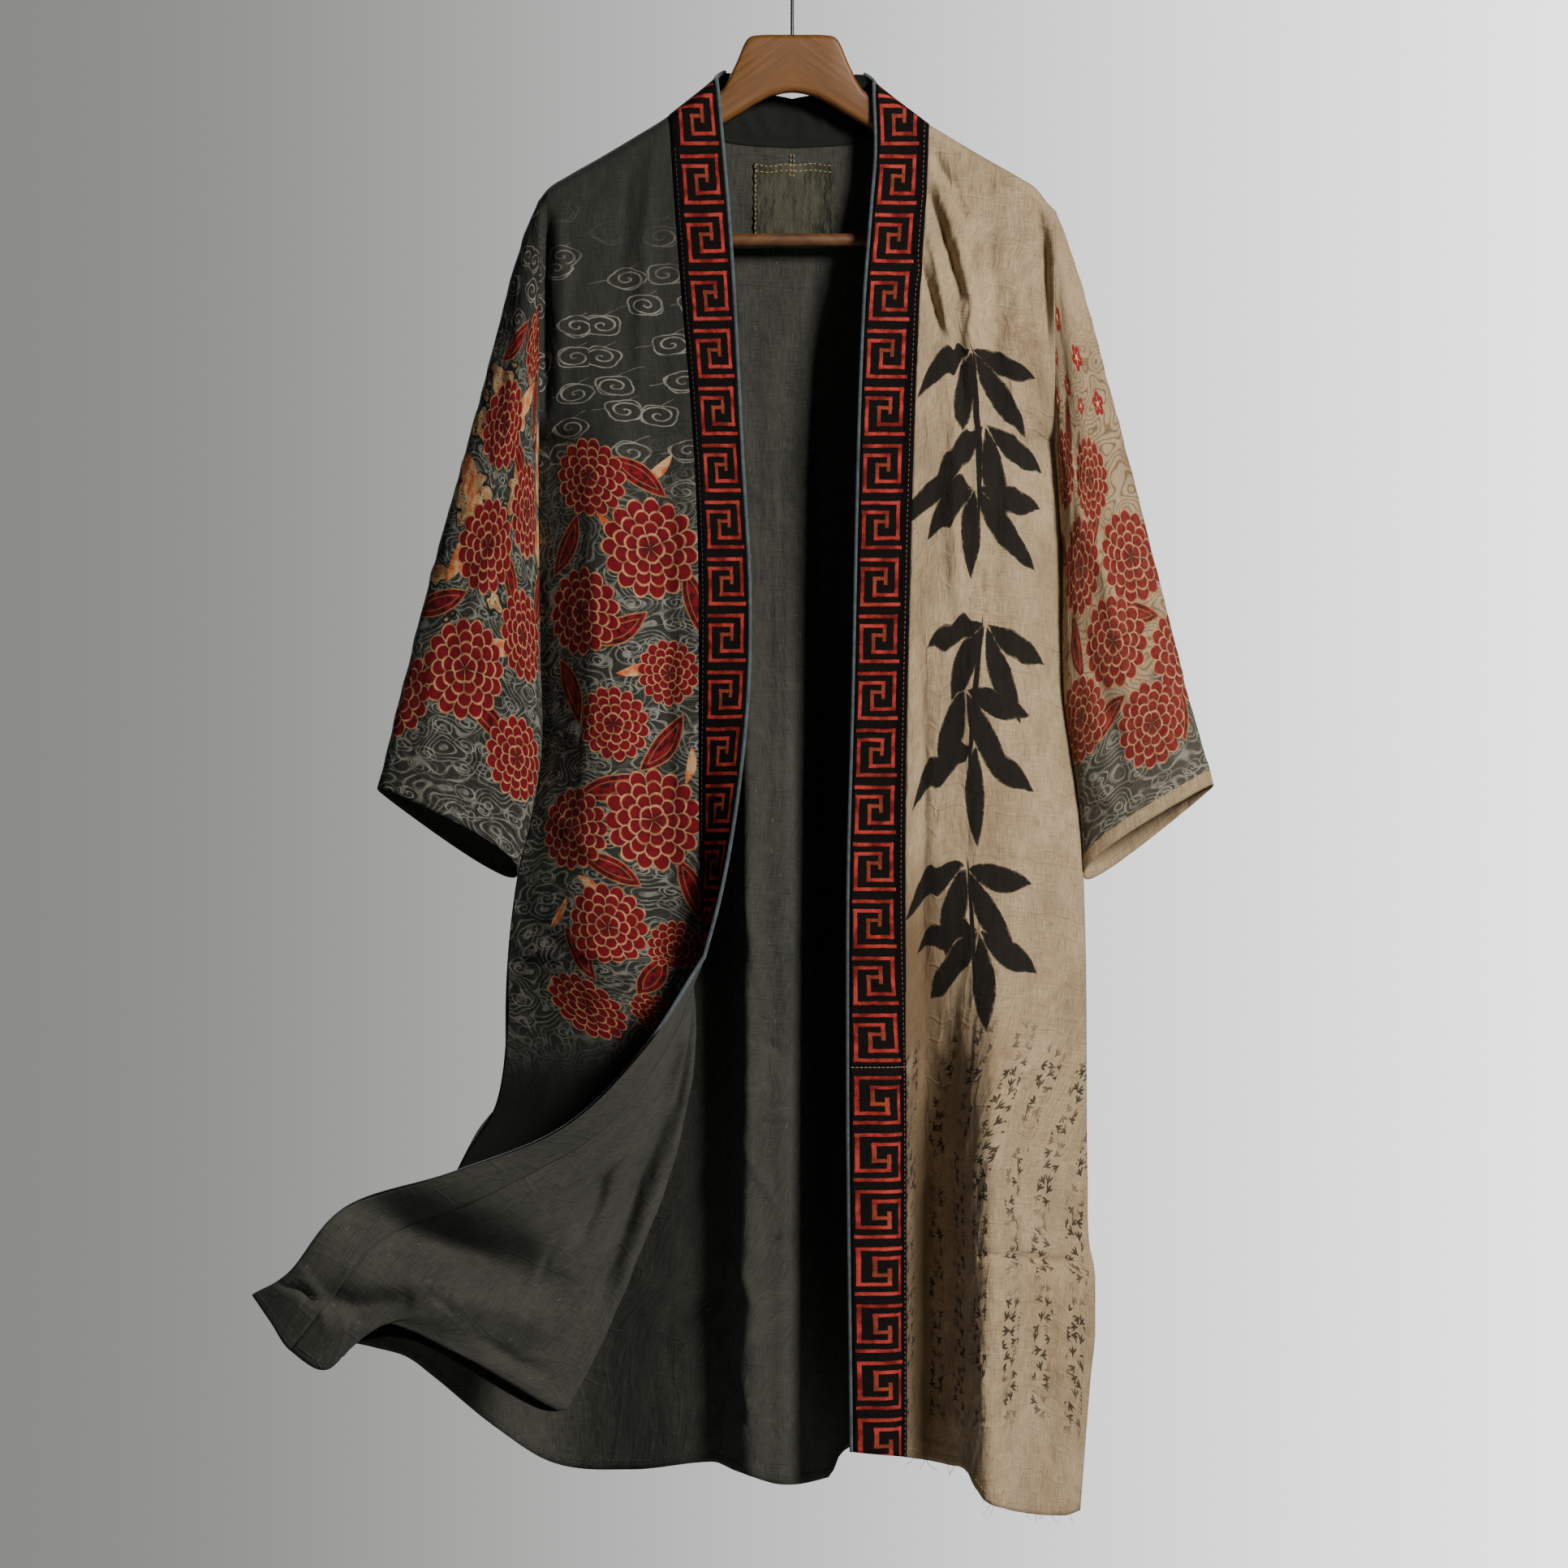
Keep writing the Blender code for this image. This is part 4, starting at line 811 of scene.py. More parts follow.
def resample(curve, count, bend_weight=0.0):
    """The same curve with count points, closer together where it bends."""
    step = np.linalg.norm(np.diff(curve, axis=0), axis=1)
    curve = curve[np.concatenate([[True], step > 1e-7])]
    step = np.linalg.norm(np.diff(curve, axis=0), axis=1)
    weight = np.ones(len(step))
    if bend_weight:
        direction = np.diff(curve, axis=0) / step[:, None]
        turn = np.linalg.norm(np.diff(direction, axis=0), axis=1)
        bend = np.concatenate([[0], turn / step[1:]])
        spread = np.ones(BEND_SPREAD) / BEND_SPREAD
        weight = 1 + bend_weight * np.convolve(np.minimum(bend, MOST_BEND), spread, mode="same")
    run = np.concatenate([[0], np.cumsum(step * weight)])
    wanted = np.linspace(0, run[-1], count)
    return np.stack([np.interp(wanted, run, curve[:, axis]) for axis in range(3)], axis=1)


def normals_of(grid):
    """Unit normals of a grid of points, by its rows and columns."""
    along = np.gradient(grid, axis=0)
    across = np.gradient(grid, axis=1)
    return unit(np.cross(along, across))


def run_along(grid, axis):
    """Length along the rows (axis 1) or the columns (axis 0) of a grid."""
    steps = np.linalg.norm(np.diff(grid, axis=axis), axis=2)
    start = np.zeros_like(np.take(steps, [0], axis=axis))
    return np.cumsum(np.concatenate([start, steps], axis=axis), axis=axis)


def crumple(grid, seed, height, length, stretch):
    """The grid with soft uneven ripples along its normals, none along its seams."""
    rows, columns = grid.shape[:2]
    row = np.arange(rows)[:, None]
    column = np.arange(columns)[None, :]
    fade = ease(row / 10) * ease(np.minimum(column, columns - 1 - column) / 8)
    across = run_along(grid, 1)
    down = run_along(grid, 0)
    rise = ripple(across, down, seed, length, stretch)
    rise += 0.5 * ripple(across, down, seed + 1, length / 2.6, stretch)
    return grid + normals_of(grid) * (rise * fade * height)[..., None]


def shape_of(grid):
    """A bmesh with the places of a grid."""
    rows, columns = grid.shape[:2]
    shape = bmesh.new()
    bmesh.ops.create_grid(shape, x_segments=columns - 1, y_segments=rows - 1, size=1)
    shape.verts.ensure_lookup_table()
    for vertex, place in zip(shape.verts, grid.reshape(-1, 3)):
        vertex.co = place
    return shape


def cloth(name, grid, lengths, thickness, finishes, node, outward=FORWARD):
    """A cloth shell on a grid of points.

    lengths are the cloth's own lengths at each point: across and down for the UV map
    "cloth", and from the side and from the hem for the UV map "edges". finishes are the
    materials of the outside and the inside.
    """
    shape = shape_of(grid)
    for layer_name, pair in (("cloth", lengths[:2]), ("edges", lengths[2:])):
        layer = shape.loops.layers.uv.new(layer_name)
        places = np.stack(pair, axis=2).reshape(-1, 2)
        for face in shape.faces:
            for corner in face.loops:
                corner[layer].uv = places[corner.vert.index]
    row, column = grid.shape[0] // 2, grid.shape[1] // 4
    across = grid[row, column + 1] - grid[row, column]
    down = grid[row + 1, column] - grid[row, column]
    if np.dot(np.cross(across, down), outward) < 0:
        bmesh.ops.reverse_faces(shape, faces=shape.faces)
    bmesh.ops.remove_doubles(shape, verts=shape.verts, dist=DOUBLES)
    piece = finished(name, shape, finishes)
    wall = piece.modifiers.new("wall", "SOLIDIFY")
    wall.thickness = thickness
    wall.offset = 0.0
    wall.material_offset = len(finishes) - 1
    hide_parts(node)
    return piece


def put(name, data):
    """An object of the scene that shows the data."""
    thing = bpy.data.objects.new(name, data)
    bpy.context.scene.collection.objects.link(thing)
    return thing


def meshed(name, shape, finishes):
    """An object made of a bmesh, which is freed."""
    mesh = bpy.data.meshes.new(name)
    shape.to_mesh(mesh)
    shape.free()
    for finish in finishes:
        mesh.materials.append(finish)
    return put(name, mesh)


def finished(name, shape, finishes):
    """A smooth piece made of a bmesh, riding on the robe's one body."""
    piece = meshed(name, shape, finishes)
    piece.data.shade_smooth()
    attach(piece, "root")
    return piece


def shoulder_stations(count, length):
    """Shares of the way down, close together over the saddle of the shoulder."""
    turn = np.linspace(0, math.pi / 2, SADDLE_ROWS)
    saddle = (1 - np.cos(turn)) * SADDLE_DROP / length
    rest = np.linspace(saddle[-1], 1, count - SADDLE_ROWS + 1)[1:]
    return np.concatenate([saddle, rest])


def panel_and_band(rows, columns):
    """Grids of a front panel and of the neckband beside it."""
    panels = [resample(panel, columns, BEND_WEIGHT) for panel, _ in rows]
    bands = [resample(band, BAND_COLUMNS) for _, band in rows]
    return to_depth(np.array(panels)), to_depth(np.array(bands))


def panel_lengths(grid):
    """Across from the neckband's seam, down from the origin's height, from side and hem."""
    across = run_along(grid, 1)
    down = run_along(grid, 0) - grid[:1, :, 2]
    return across[:, -1:] - across, down, across, down[-1:] - down


def band_lengths(grid):
    """Across from the free edge as if all of it were BAND_WIDTH wide, and down.

    Down is measured along the middle, and levelled across where the band hangs straight.
    """
    across = run_along(grid, 1)
    middle = grid.shape[1] // 2
    from_edge = (1 - across / across[:, -1:]) * BAND_WIDTH
    turned = ease((TURN_HEIGHT - grid[:, middle : middle + 1, 2]) / BAND_HANGS_FADE)
    hangs = 1 - turned * (grid[0, 0, 0] < 0)
    level = (grid[:, middle : middle + 1, 2] - grid[:, :, 2]) * hangs
    down = run_along(grid, 0)[:, middle : middle + 1] - grid[0, middle, 2] + level
    return from_edge, down, across, down[-1:] - down


def dark_front():
    controls = sweep_controls()
    rows = [dark_upper_row(down) for down in shoulder_stations(UPPER_ROWS, UPPER_LENGTH)]
    rows += [dark_sweep_row(down, controls) for down in np.linspace(0, 1, SWEEP_ROWS + 1)[1:]]
    panel, band = panel_and_band(rows, DARK_COLUMNS)
    return crumple(panel, *DARK_CRUMPLE), band


def join_row(band):
    """The row of the tan neckband where its two pieces join."""
    return int(np.argmin(np.abs(band[:, band.shape[1] // 2, 2] - BAND_JOIN)))


def tan_front():
    rows = [tan_row(down) for down in shoulder_stations(TAN_ROWS, BODY_LENGTH)]
    panel, band = panel_and_band(rows, TAN_COLUMNS)
    join = join_row(band)
    near = np.exp(-(((np.arange(len(band)) - join) / JOIN_LEVEL_ROWS) ** 2))
    band[:, :, 2] += near[:, None] * (BAND_JOIN - band[join, :, 2])
    return crumple(panel, *TAN_CRUMPLE), band


def neck_side(x):
    """Half width of the neck's seam on the side of x."""
    return np.where(x < 0, -SEAM_DARK[0][1], SEAM_TAN[0][1])


def neck_line(x, column_name):
    share = np.abs(x) / neck_side(x)
    table = np.array(NECK)
    return smooth(share, table[:, 0], table[:, NECK_COLUMNS.index(column_name)])


def neck_height(x, column_name, dark_end, tan_end):
    """Height of the neck's seam or free edge. Its two ends meet the shoulder line."""
    share = np.abs(x) / neck_side(x)
    end = line(SHOULDER, np.where(x < 0, dark_end, tan_end))
    step = end - NECK[0][NECK_COLUMNS.index(column_name)]
    return neck_line(x, column_name) + step * share**NECK_END_POWER


def seam_height(x):
    return neck_height(x, "seam_z", -SEAM_DARK[0][1], SEAM_TAN[0][1])


def edge_height(x):
    return neck_height(x, "edge_z", -EDGE_DARK[0][1], EDGE_TAN[0][1])


def back_top(x):
    """Depth and height of the back's top edge: shoulder seam, then the seam of the neckband."""
    in_neck = np.abs(x) <= neck_side(x)
    depth = np.where(in_neck, np.maximum(neck_line(x, "seam_y"), HALF_SEAM), HALF_SEAM)
    height = np.where(in_neck, seam_height(np.where(in_neck, x, 0)), line(SHOULDER, np.abs(x)))
    return depth, height


def neck_places():
    """Places along the neck's seam, close together at the shoulders."""
    shares = np.sin(np.linspace(0, math.pi / 2, NECK_HALF_COLUMNS))
    return np.concatenate([SEAM_DARK[0][1] * shares[::-1], SEAM_TAN[0][1] * shares[1:]])


def back_row(down):
    neck = neck_places()
    left = np.linspace(LEFT_SIDE[0][1], neck[0], BACK_SHOULDER_COLUMNS + 1)[:-1]
    right = np.linspace(neck[-1], RIGHT_SIDE[0][1], BACK_SHOULDER_COLUMNS + 1)[1:]
    top_x = np.concatenate([left, neck, right])
    share_top = (top_x - top_x[0]) / (top_x[-1] - top_x[0])
    share_hem = np.linspace(0, 1, len(top_x))
    share = mix(share_top, share_hem, ease((down - BACK_SPREAD_START) / BACK_SPREAD))
    top_y, top_z = back_top(top_x)
    z = mix(top_z, line(BACK_HEM, share), down)
    x = mix(line(LEFT_SIDE, z), line(RIGHT_SIDE, z), share)
    x = mix(top_x, x, ease(down / SHOULDER_SHARE))
    drop = top_z - z
    from_side = np.minimum(share, 1 - share) * 2
    tip = np.where(x < 0, line(SHOULDER, -top_x[0]), line(SHOULDER, top_x[-1]))
    depth = body_depth(z, drop, from_side, tip, BACK_DEPTH)
    neck_depth = np.maximum(top_y, depth)
    depth = mix(neck_depth, depth, ease(drop / NECK_FADE_DROP))
    depth = np.where(drop <= 0, top_y, depth)
    shown = fade_at_side(from_side)
    depth = depth - fold_rise(BACK_FOLDS, x, z) * shown
    depth = depth - crease_rise(BACK_CREASES, x, z) * shown * ease(drop / FOLD_FADE_DROP)
    return np.stack([x, depth, z], axis=1)


def back_panel():
    grid = to_depth(np.array([back_row(down) for down in shoulder_stations(BACK_ROWS, BODY_LENGTH)]))
    grid = crumple(grid, *BACK_CRUMPLE)
    across = run_along(grid, 1)
    middle = grid.shape[1] // 2
    down = run_along(grid, 0) - grid[:1, :, 2]
    lengths = (across - across[:, middle : middle + 1], down, across, down[-1:] - down)
    return grid, lengths


def neck_band():
    """The neckband behind the neck, from its seam up to its free edge."""
    stations = neck_places()
    edge_reach = np.where(stations < 0, -EDGE_DARK[0][1], EDGE_TAN[0][1])
    edge_x = stations / neck_side(stations) * edge_reach
    lower = np.stack([stations, np.maximum(neck_line(stations, "seam_y"), HALF_SEAM),
                      seam_height(stations)], axis=1)
    upper = np.stack([edge_x, np.maximum(neck_line(stations, "edge_y"), HALF_SEAM),
                      edge_height(stations)], axis=1)
    shares = np.linspace(0, 1, COLLAR_ROWS)[:, None, None]
    grid = mix(lower[None], upper[None], shares)
    fade = ease(grid[:, :, 1] / COLLAR_FADE) * np.sqrt(np.sin(shares[:, :, 0] * math.pi))
    grid[:, :, 1] -= crease_rise(COLLAR_CREASES, grid[:, :, 0], grid[:, :, 2]) * fade
    grid = to_depth(grid)
    height = run_along(grid, 0)
    along = run_along(grid, 1)
    return grid, (height[-1:] - height, along, height, along)


def back_places(grid):
    """Places of the back at even heights, to read its depth anywhere in the front view."""
    heights = np.linspace(PATCH_TOP + 0.002, PATCH_FOOT - 0.002, PATCH_HEIGHTS)
    columns = grid.transpose(1, 0, 2)
    x = np.array([np.interp(-heights, -column[:, 2], column[:, 0]) for column in columns]).T
    y = np.array([np.interp(-heights, -column[:, 2], column[:, 1]) for column in columns]).T
    return heights, x, y


def inside_patch(back):
    """The patch on the back's inside: made from the back's own points, moved inwards."""
    heights, back_x, back_y = back_places(back)
    lift = CLOTH / 2 + SEAM + PATCH_CLOTH / 2
    rows = []
    for z in np.linspace(PATCH_TOP, PATCH_FOOT, PATCH_ROWS):
        row = int(np.argmin(np.abs(heights - z)))
        left = PATCH_LEFT + PATCH_WAVER * math.sin(z * PATCH_WAVER_TURN)
        x = np.linspace(left, PATCH_RIGHT, PATCH_COLUMNS)
        y = np.interp(x, back_x[row], back_y[row]) - lift
        rows.append(np.stack([x, y, np.full_like(x, z)], axis=1))
    grid = np.array(rows)
    grid[:, :, 2] += PATCH_RIPPLE * ripple(grid[:, :, 0], grid[:, :, 2], 5, 0.030)
    across = run_along(grid, 1)
    down = run_along(grid, 0)
    return grid, (across, down, across, down[-1:] - down)


def sleeve(table, body_side, side, creases):
    """A tube from the armhole to the cuff. side is -1 at the viewer's left.

    Its rings start at the underarm and run over the front to the back.
    """
    turn = np.linspace(0, math.tau, RING_POINTS + 1)
    cosine = -np.cos(turn)
    sine = np.sin(turn)
    keys = np.arange(len(table))
    place = np.linspace(0, len(table) - 1, SLEEVE_ROWS)
    outer, inner, depth, lift = (smooth(place, keys, column) for column in zip(*table))
    clearance = (CLOTH / 2 + SLEEVE_CLEARANCE) * ease(place / ARMHOLE_FADE_RINGS)
    inner[:, 0] = line(body_side, inner[:, 1]) + side * clearance
    middle = (outer + inner)[:, None] / 2
    half = (outer - inner)[:, None] / 2
    x = middle[..., 0] + half[..., 0] * cosine
    z = middle[..., 1] + half[..., 1] * cosine
    to_front = np.sign(sine) * np.abs(sine) ** CUFF_LIFT_POWER
    z = z + lift[:, None] * to_front * (1 - CUFF_LIFT_INNER * cosine)
    y = -depth[:, None] * sine
    y = y - crease_rise(creases, x, z) * ease(place)[:, None] * sine
    grid = to_depth(np.stack([x, y, z], axis=2))
    grid[0, :, 0] += side * SEAM
    grid = crumple(grid, SLEEVE_SEED + side, *SLEEVE_CRUMPLE)
    across = run_along(grid, 1)
    down = run_along(grid, 0)
    return grid, (across, down[-1:] - down, across, down[-1:] - down)


def tube(name, route, radius, finish, resolution=3):
    """A round cord along a route of points, closed at its ends."""
    curve = bpy.data.curves.new(name, "CURVE")
    curve.dimensions = "3D"
    curve.bevel_depth = radius
    curve.bevel_resolution = resolution
    curve.use_fill_caps = True
    spline = curve.splines.new("POLY")
    spline.points.add(len(route) - 1)
    for point, place in zip(spline.points, route):
        point.co = (*place, 1)
    cord = bpy.data.objects.new(name, curve)
    mesh = bpy.data.meshes.new_from_object(cord)
    bpy.data.objects.remove(cord)
    shape = bmesh.new()
    shape.from_mesh(mesh)
    return finished(name, shape, (finish,))


def piping(name, band, collar_edge, finish, node):
    """Round piping along the free edge of a neckband, behind the edge where it is turned over.

    collar_edge is the part of the collar's edge that the piping's upper end runs on.
    """
    edge = band[:, -1]
    along = unit(np.gradient(edge, axis=0))
    outward = edge - band[:, -2]
    outward = unit(outward - along * np.sum(outward * along, axis=1, keepdims=True))
    turned = ease((TURN_HEIGHT - edge[:, 2]) / PIPING_TURN) * (edge[:, 0] < 0)
    route = edge + outward * (PIPING_RADIUS * mix(PIPING_OUT, PIPING_OUT_TURNED, turned))[:, None]
    route[:, 1] += turned * PIPING_BEHIND
    route[0] = edge[0] + np.array([0, 0, PIPING_RADIUS * 0.5])
    start = collar_edge + np.array([0, 0, PIPING_RADIUS * 0.5])
    route = np.concatenate([start, route])
    cord = tube(name, route, PIPING_RADIUS, finish)
    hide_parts(node)
    return cord


def stitch_places(route, normals, length, gap, lift):
    """Ends of the stitches along a route that lies on cloth."""
    steps = np.linalg.norm(np.diff(route, axis=0), axis=1)
    run = np.concatenate([[0], np.cumsum(steps)])
    starts = np.arange(gap / 2, run[-1] - length, length + gap)
    first, last, up = (
        np.stack([np.interp(place, run, values[:, axis]) for axis in range(3)], axis=1)
        for place, values in ((starts, route), (starts + length, route), (starts, normals))
    )
    return zip(first + up * lift, last + up * lift)


def stitches(name, rows, finish, stitch=FINE_STITCH):
    """Rows of small rounded stitches, each row a route, the cloth's normals and a lift."""
    length, gap, radius = stitch
    ends = [pair for row in rows for pair in stitch_places(*row[:2], length, gap, row[2])]
    shape = bmesh.new()
    for batch in range(0, len(ends), STITCH_BATCH):
        few = bmesh.new()
        for first, last in ends[batch : batch + STITCH_BATCH]:
            along = Vector(last - first)
            turned = along.to_track_quat("X", "Z").to_matrix().to_4x4()
            scaled = Matrix.Diagonal((along.length / 2, radius, radius, 1))
            place = Matrix.Translation(Vector((first + last) / 2)) @ turned @ scaled
            bmesh.ops.create_uvsphere(few, u_segments=6, v_segments=4, radius=1, matrix=place)
        mesh = bpy.data.meshes.new("few stitches")
        few.to_mesh(mesh)
        few.free()
        shape.from_mesh(mesh)
        bpy.data.meshes.remove(mesh)
    return finished(name, shape, (finish,))


def hem_row(grid, lengths, height, side):
    """A route at a height above the hem, with the cloth's normals. side is 1 or -1."""
    from_hem = lengths[3]
    normals = normals_of(grid) * side
    route = []
    ups = []
    for column in range(grid.shape[1]):
        order = from_hem[::-1, column]
        route.append([np.interp(height, order, grid[::-1, column, axis]) for axis in range(3)])
        ups.append([np.interp(height, order, normals[::-1, column, axis]) for axis in range(3)])
    return np.array(route), np.array(ups)


def loose_threads(name, starts, finish, seed):
    """Short thin threads hanging from a raw edge."""
    chance = np.random.RandomState(seed)
    shape = bmesh.new()
    for start in starts:
        reach = chance.uniform(*THREAD_REACHES)
        lean = chance.uniform(-THREAD_LEAN, THREAD_LEAN)
        curl = chance.uniform(-THREAD_CURL, THREAD_CURL)
        share = np.linspace(0, 1, 6)
        route = start + np.stack([
            reach * (lean * share + curl * share**2),
            -0.0006 - 0.2 * reach * share * chance.uniform(0, 1),
            -reach * share * (1 - 0.3 * share),
        ], axis=1)
        thread = tube("thread", route, THREAD_RADIUS, finish, 0)
        shape.from_mesh(thread.data)
        bpy.data.objects.remove(thread)
    return finished(name, shape, (finish,))


def yoke_sections():
    """Tops and feet of the board's sections from one arm's end to the other."""
    half = np.array(YOKE_SECTIONS)
    place = np.linspace(0, len(half) - 1, LOFT_STEPS * (len(half) - 1) + 1)
    right = smooth(place, np.arange(len(half)), half.reshape(len(half), 4))
    left = right[:0:-1] * np.array([-1, 1, -1, 1])
    return np.concatenate([left, right])


def rounded_section(height):
    """Places round one section, across its thickness and up it, with round corners."""
    corner = np.minimum(YOKE_CORNER, height * 0.49)[:, None]
    half = YOKE_THICKNESS / 2 - YOKE_CORNER
    turn = np.linspace(0, math.pi / 2, CORNER_POINTS)
    across = []
    up = []
    for quarter, (side, top) in enumerate(((1, 1), (-1, 1), (-1, -1), (1, -1))):
        angle = turn + quarter * math.pi / 2
        across.append(side * half + YOKE_CORNER * np.cos(angle) + 0 * corner)
        up.append(top * (height[:, None] / 2 - corner) + corner * np.sin(angle))
    return np.concatenate(across, axis=1), np.concatenate(up, axis=1)


def yoke(finish):
    """The hanger's shaped board: rounded sections from one arm's end to the other."""
    sections = yoke_sections()
    top = sections[:, :2]
    foot = sections[:, 2:]
    height = np.linalg.norm(top - foot, axis=1)
    up = (top - foot) / height[:, None]
    across, above = rounded_section(height)
    middle = (top + foot) / 2
    grid = np.stack([
        middle[:, :1] + up[:, :1] * above,
        across,
        middle[:, 1:] + up[:, 1:] * above,
    ], axis=2)
    grid = np.concatenate([grid, grid[:, :1]], axis=1)
    shape = shape_of(grid)
    bmesh.ops.remove_doubles(shape, verts=shape.verts, dist=DOUBLES)
    rims = [edge for edge in shape.edges if edge.is_boundary]
    bmesh.ops.holes_fill(shape, edges=rims)
    bmesh.ops.recalc_face_normals(shape, faces=shape.faces)
    board = finished("hanger_board", shape, (finish,))
    board.data.set_sharp_from_angle(angle=WOOD_SHARP_ANGLE)
    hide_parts("hanger_yoke")
    return board


def trouser_bar(finish):
    """The round bar between the lobes."""
    shape = bmesh.new()
    turn = Matrix.Rotation(math.pi / 2, 4, "Y")
    bmesh.ops.create_cone(
        shape, cap_ends=True, segments=40, radius1=BAR_RADIUS, radius2=BAR_RADIUS,
        depth=2 * BAR_HALF_LENGTH, matrix=Matrix.Translation((0, 0, BAR_HEIGHT)) @ turn,
    )
    ends = [edge for edge in shape.edges if abs(edge.verts[0].co.x - edge.verts[1].co.x) < 1e-6]
    bmesh.ops.bevel(shape, geom=ends, offset=BAR_EDGE, segments=3, profile=0.5, affect="EDGES", material=-1)
    bar = finished("hanger_rail", shape, (finish,))
    bar.data.set_sharp_from_angle(angle=WOOD_SHARP_ANGLE)
    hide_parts("hanger_bar")
    return bar


def hook(finish):
    """A straight stem out of the wood, then a round hook with its opening at the side."""
    centre = WIRE_RADIUS - HOOK_RADIUS
    turn = np.radians(np.linspace(*HOOK_ANGLES, 64))
    arc = [(HOOK_RADIUS * math.cos(a), 0, centre + HOOK_RADIUS * math.sin(a)) for a in turn]
    stem_top = centre - HOOK_RADIUS - STEM_BEND
    lean, rise = STEM_LEAN
    stem = [
        (0, 0, YOKE_TOP - STEM_IN_WOOD),
        (0, 0, stem_top),
        (lean * 0.3, 0, stem_top + rise * 0.6),
        (lean, 0, stem_top + rise),
    ]
    wire = tube("hook_wire", stem + arc, WIRE_RADIUS, finish, 5)
    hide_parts("hanger_hook")
    return wire


class Term:
    """A number that varies over a surface. Sums, products and comparisons add Math nodes."""

    def __init__(self, finish, socket):
        self.finish = finish
        self.socket = socket

    def math(self, operation, *others):
        return self.finish.node("Math", {"operation": operation}, dict(enumerate((self, *others))))

    def __add__(self, other):
        return self.math("ADD", other)

    __radd__ = __add__

    def __sub__(self, other):
        return self.math("SUBTRACT", other)

    def __rsub__(self, other):
        return self.finish.node("Math", {"operation": "SUBTRACT"}, {0: other, 1: self})

    def __mul__(self, other):
        return self.math("MULTIPLY", other)

    __rmul__ = __mul__

    def __truediv__(self, other):
        return self.math("DIVIDE", other)

    def __pow__(self, other):
        return self.math("POWER", other)

    def __gt__(self, other):
        return self.math("GREATER_THAN", other)

    def __lt__(self, other):
        return self.math("LESS_THAN", other)

    def plus(self, factor, other):
        """This number times a factor, plus another, in one node."""
        return self.math("MULTIPLY_ADD", factor, other)

    def size(self):
        return self.math("ABSOLUTE")

    def part(self):
        return self.math("FRACT")

    def root(self):
        return self.math("SQRT")

    def wave(self):
        return self.math("SINE")

    def least(self, other):
        return self.math("MINIMUM", other)

    def most(self, other):
        return self.math("MAXIMUM", other)

    def turn_from(self, other):
        """Turns from 0 to 1 round the origin, where this is y and the other is x."""
        return self.math("ARCTAN2", other).plus(1 / math.tau, 0.5)

    def between(self, low, high):
        """0 below low, 1 above high and a soft step between."""
        settings = {"interpolation_type": "SMOOTHSTEP"}
        return self.finish.node("MapRange", settings, {"Value": self, "From Min": low, "From Max": high})

    def near(self, place, half_width, soft):
        """1 within half_width of a place, with soft edges."""
        return 1 - (self - place).size().between(half_width - soft, half_width + soft)


class Finish:
    """A material under construction on one Principled shader."""

    def __init__(self, name, roughness, sheen=0.0, shine=0.15):
        self.material = bpy.data.materials.new(name)
        self.material.use_nodes = True
        self.tree = self.material.node_tree
        self.shader = self.tree.nodes["Principled BSDF"]
        self.shader.inputs["Roughness"].default_value = roughness
        self.shader.inputs["Sheen Weight"].default_value = sheen
        self.shader.inputs["Sheen Roughness"].default_value = 0.5
        self.shader.inputs["Specular IOR Level"].default_value = shine

    def node(self, kind, settings, sockets, output=0):
        """One node: its settings first, then the values or links of its sockets."""
        made = self.tree.nodes.new("ShaderNode" + kind)
        for name, value in settings.items():
            setattr(made, name, value)
        for name, value in sockets.items():
            self.feed(made.inputs[name], value)
        return Term(self, made.outputs[output])

    def feed(self, socket, value):
        if isinstance(value, Term):
            self.tree.links.new(value.socket, socket)
        elif socket.type == "RGBA":
            socket.default_value = (*value, 1)
        else:
            socket.default_value = value

    def lengths(self):
        """The cloth's own lengths, across and down."""
        return self.split(self.node("UVMap", {"uv_map": "cloth"}, {}))[:2]

    def from_edges(self):
        """Distances from the side and from the hem."""
        return self.split(self.node("UVMap", {"uv_map": "edges"}, {}))[:2]

    def places(self):
        """Places in the object's frame."""
        return self.split(self.node("TexCoord", {}, {}, output=3))

    def split(self, vector):
        parts = self.node("SeparateXYZ", {}, {0: vector}).socket.node
        return [Term(self, output) for output in parts.outputs]

    def vector(self, x, y, z=0.0):
        return self.node("CombineXYZ", {}, {0: x, 1: y, 2: z})

    def noise(self, x, y, scale, detail=2.0, roughness=0.5, z=0.0):
        sockets = {"Vector": self.vector(x, y, z), "Scale": scale, "Detail": detail, "Roughness": roughness}
        return self.node("TexNoise", {}, sockets)

    def cells(self, x, y, size, randomness):
        """Places within scattered cells, in cell sizes, and a chance number for each cell."""
        x = x / size
        y = y / size
        sockets = {"Vector": self.vector(x, y), "Scale": 1.0, "Randomness": randomness}
        cell = self.node("TexVoronoi", {"voronoi_dimensions": "2D"}, sockets, output=1)
        middle = self.split(Term(self, cell.socket.node.outputs[2]))
        chance = self.node("SeparateColor", {}, {0: cell})
        return x - middle[0], y - middle[1], chance

    def blend(self, share, under, over):
        """The colour under, and the colour over it where share is 1."""
        return self.node("Mix", {"data_type": "RGBA"}, {0: share, 6: under, 7: over}, output=2)

    def paint(self, colour):
        self.feed(self.shader.inputs["Base Color"], colour)

    def relief(self, height, distance, strength=1.0):
        """Bumps of a height from 0 to 1 that stands for a real distance."""
        sockets = {"Height": height, "Distance": distance, "Strength": strength}
        self.feed(self.shader.inputs["Normal"], self.node("Bump", {}, sockets))

    def roughen(self, value):
        self.feed(self.shader.inputs["Roughness"], value)


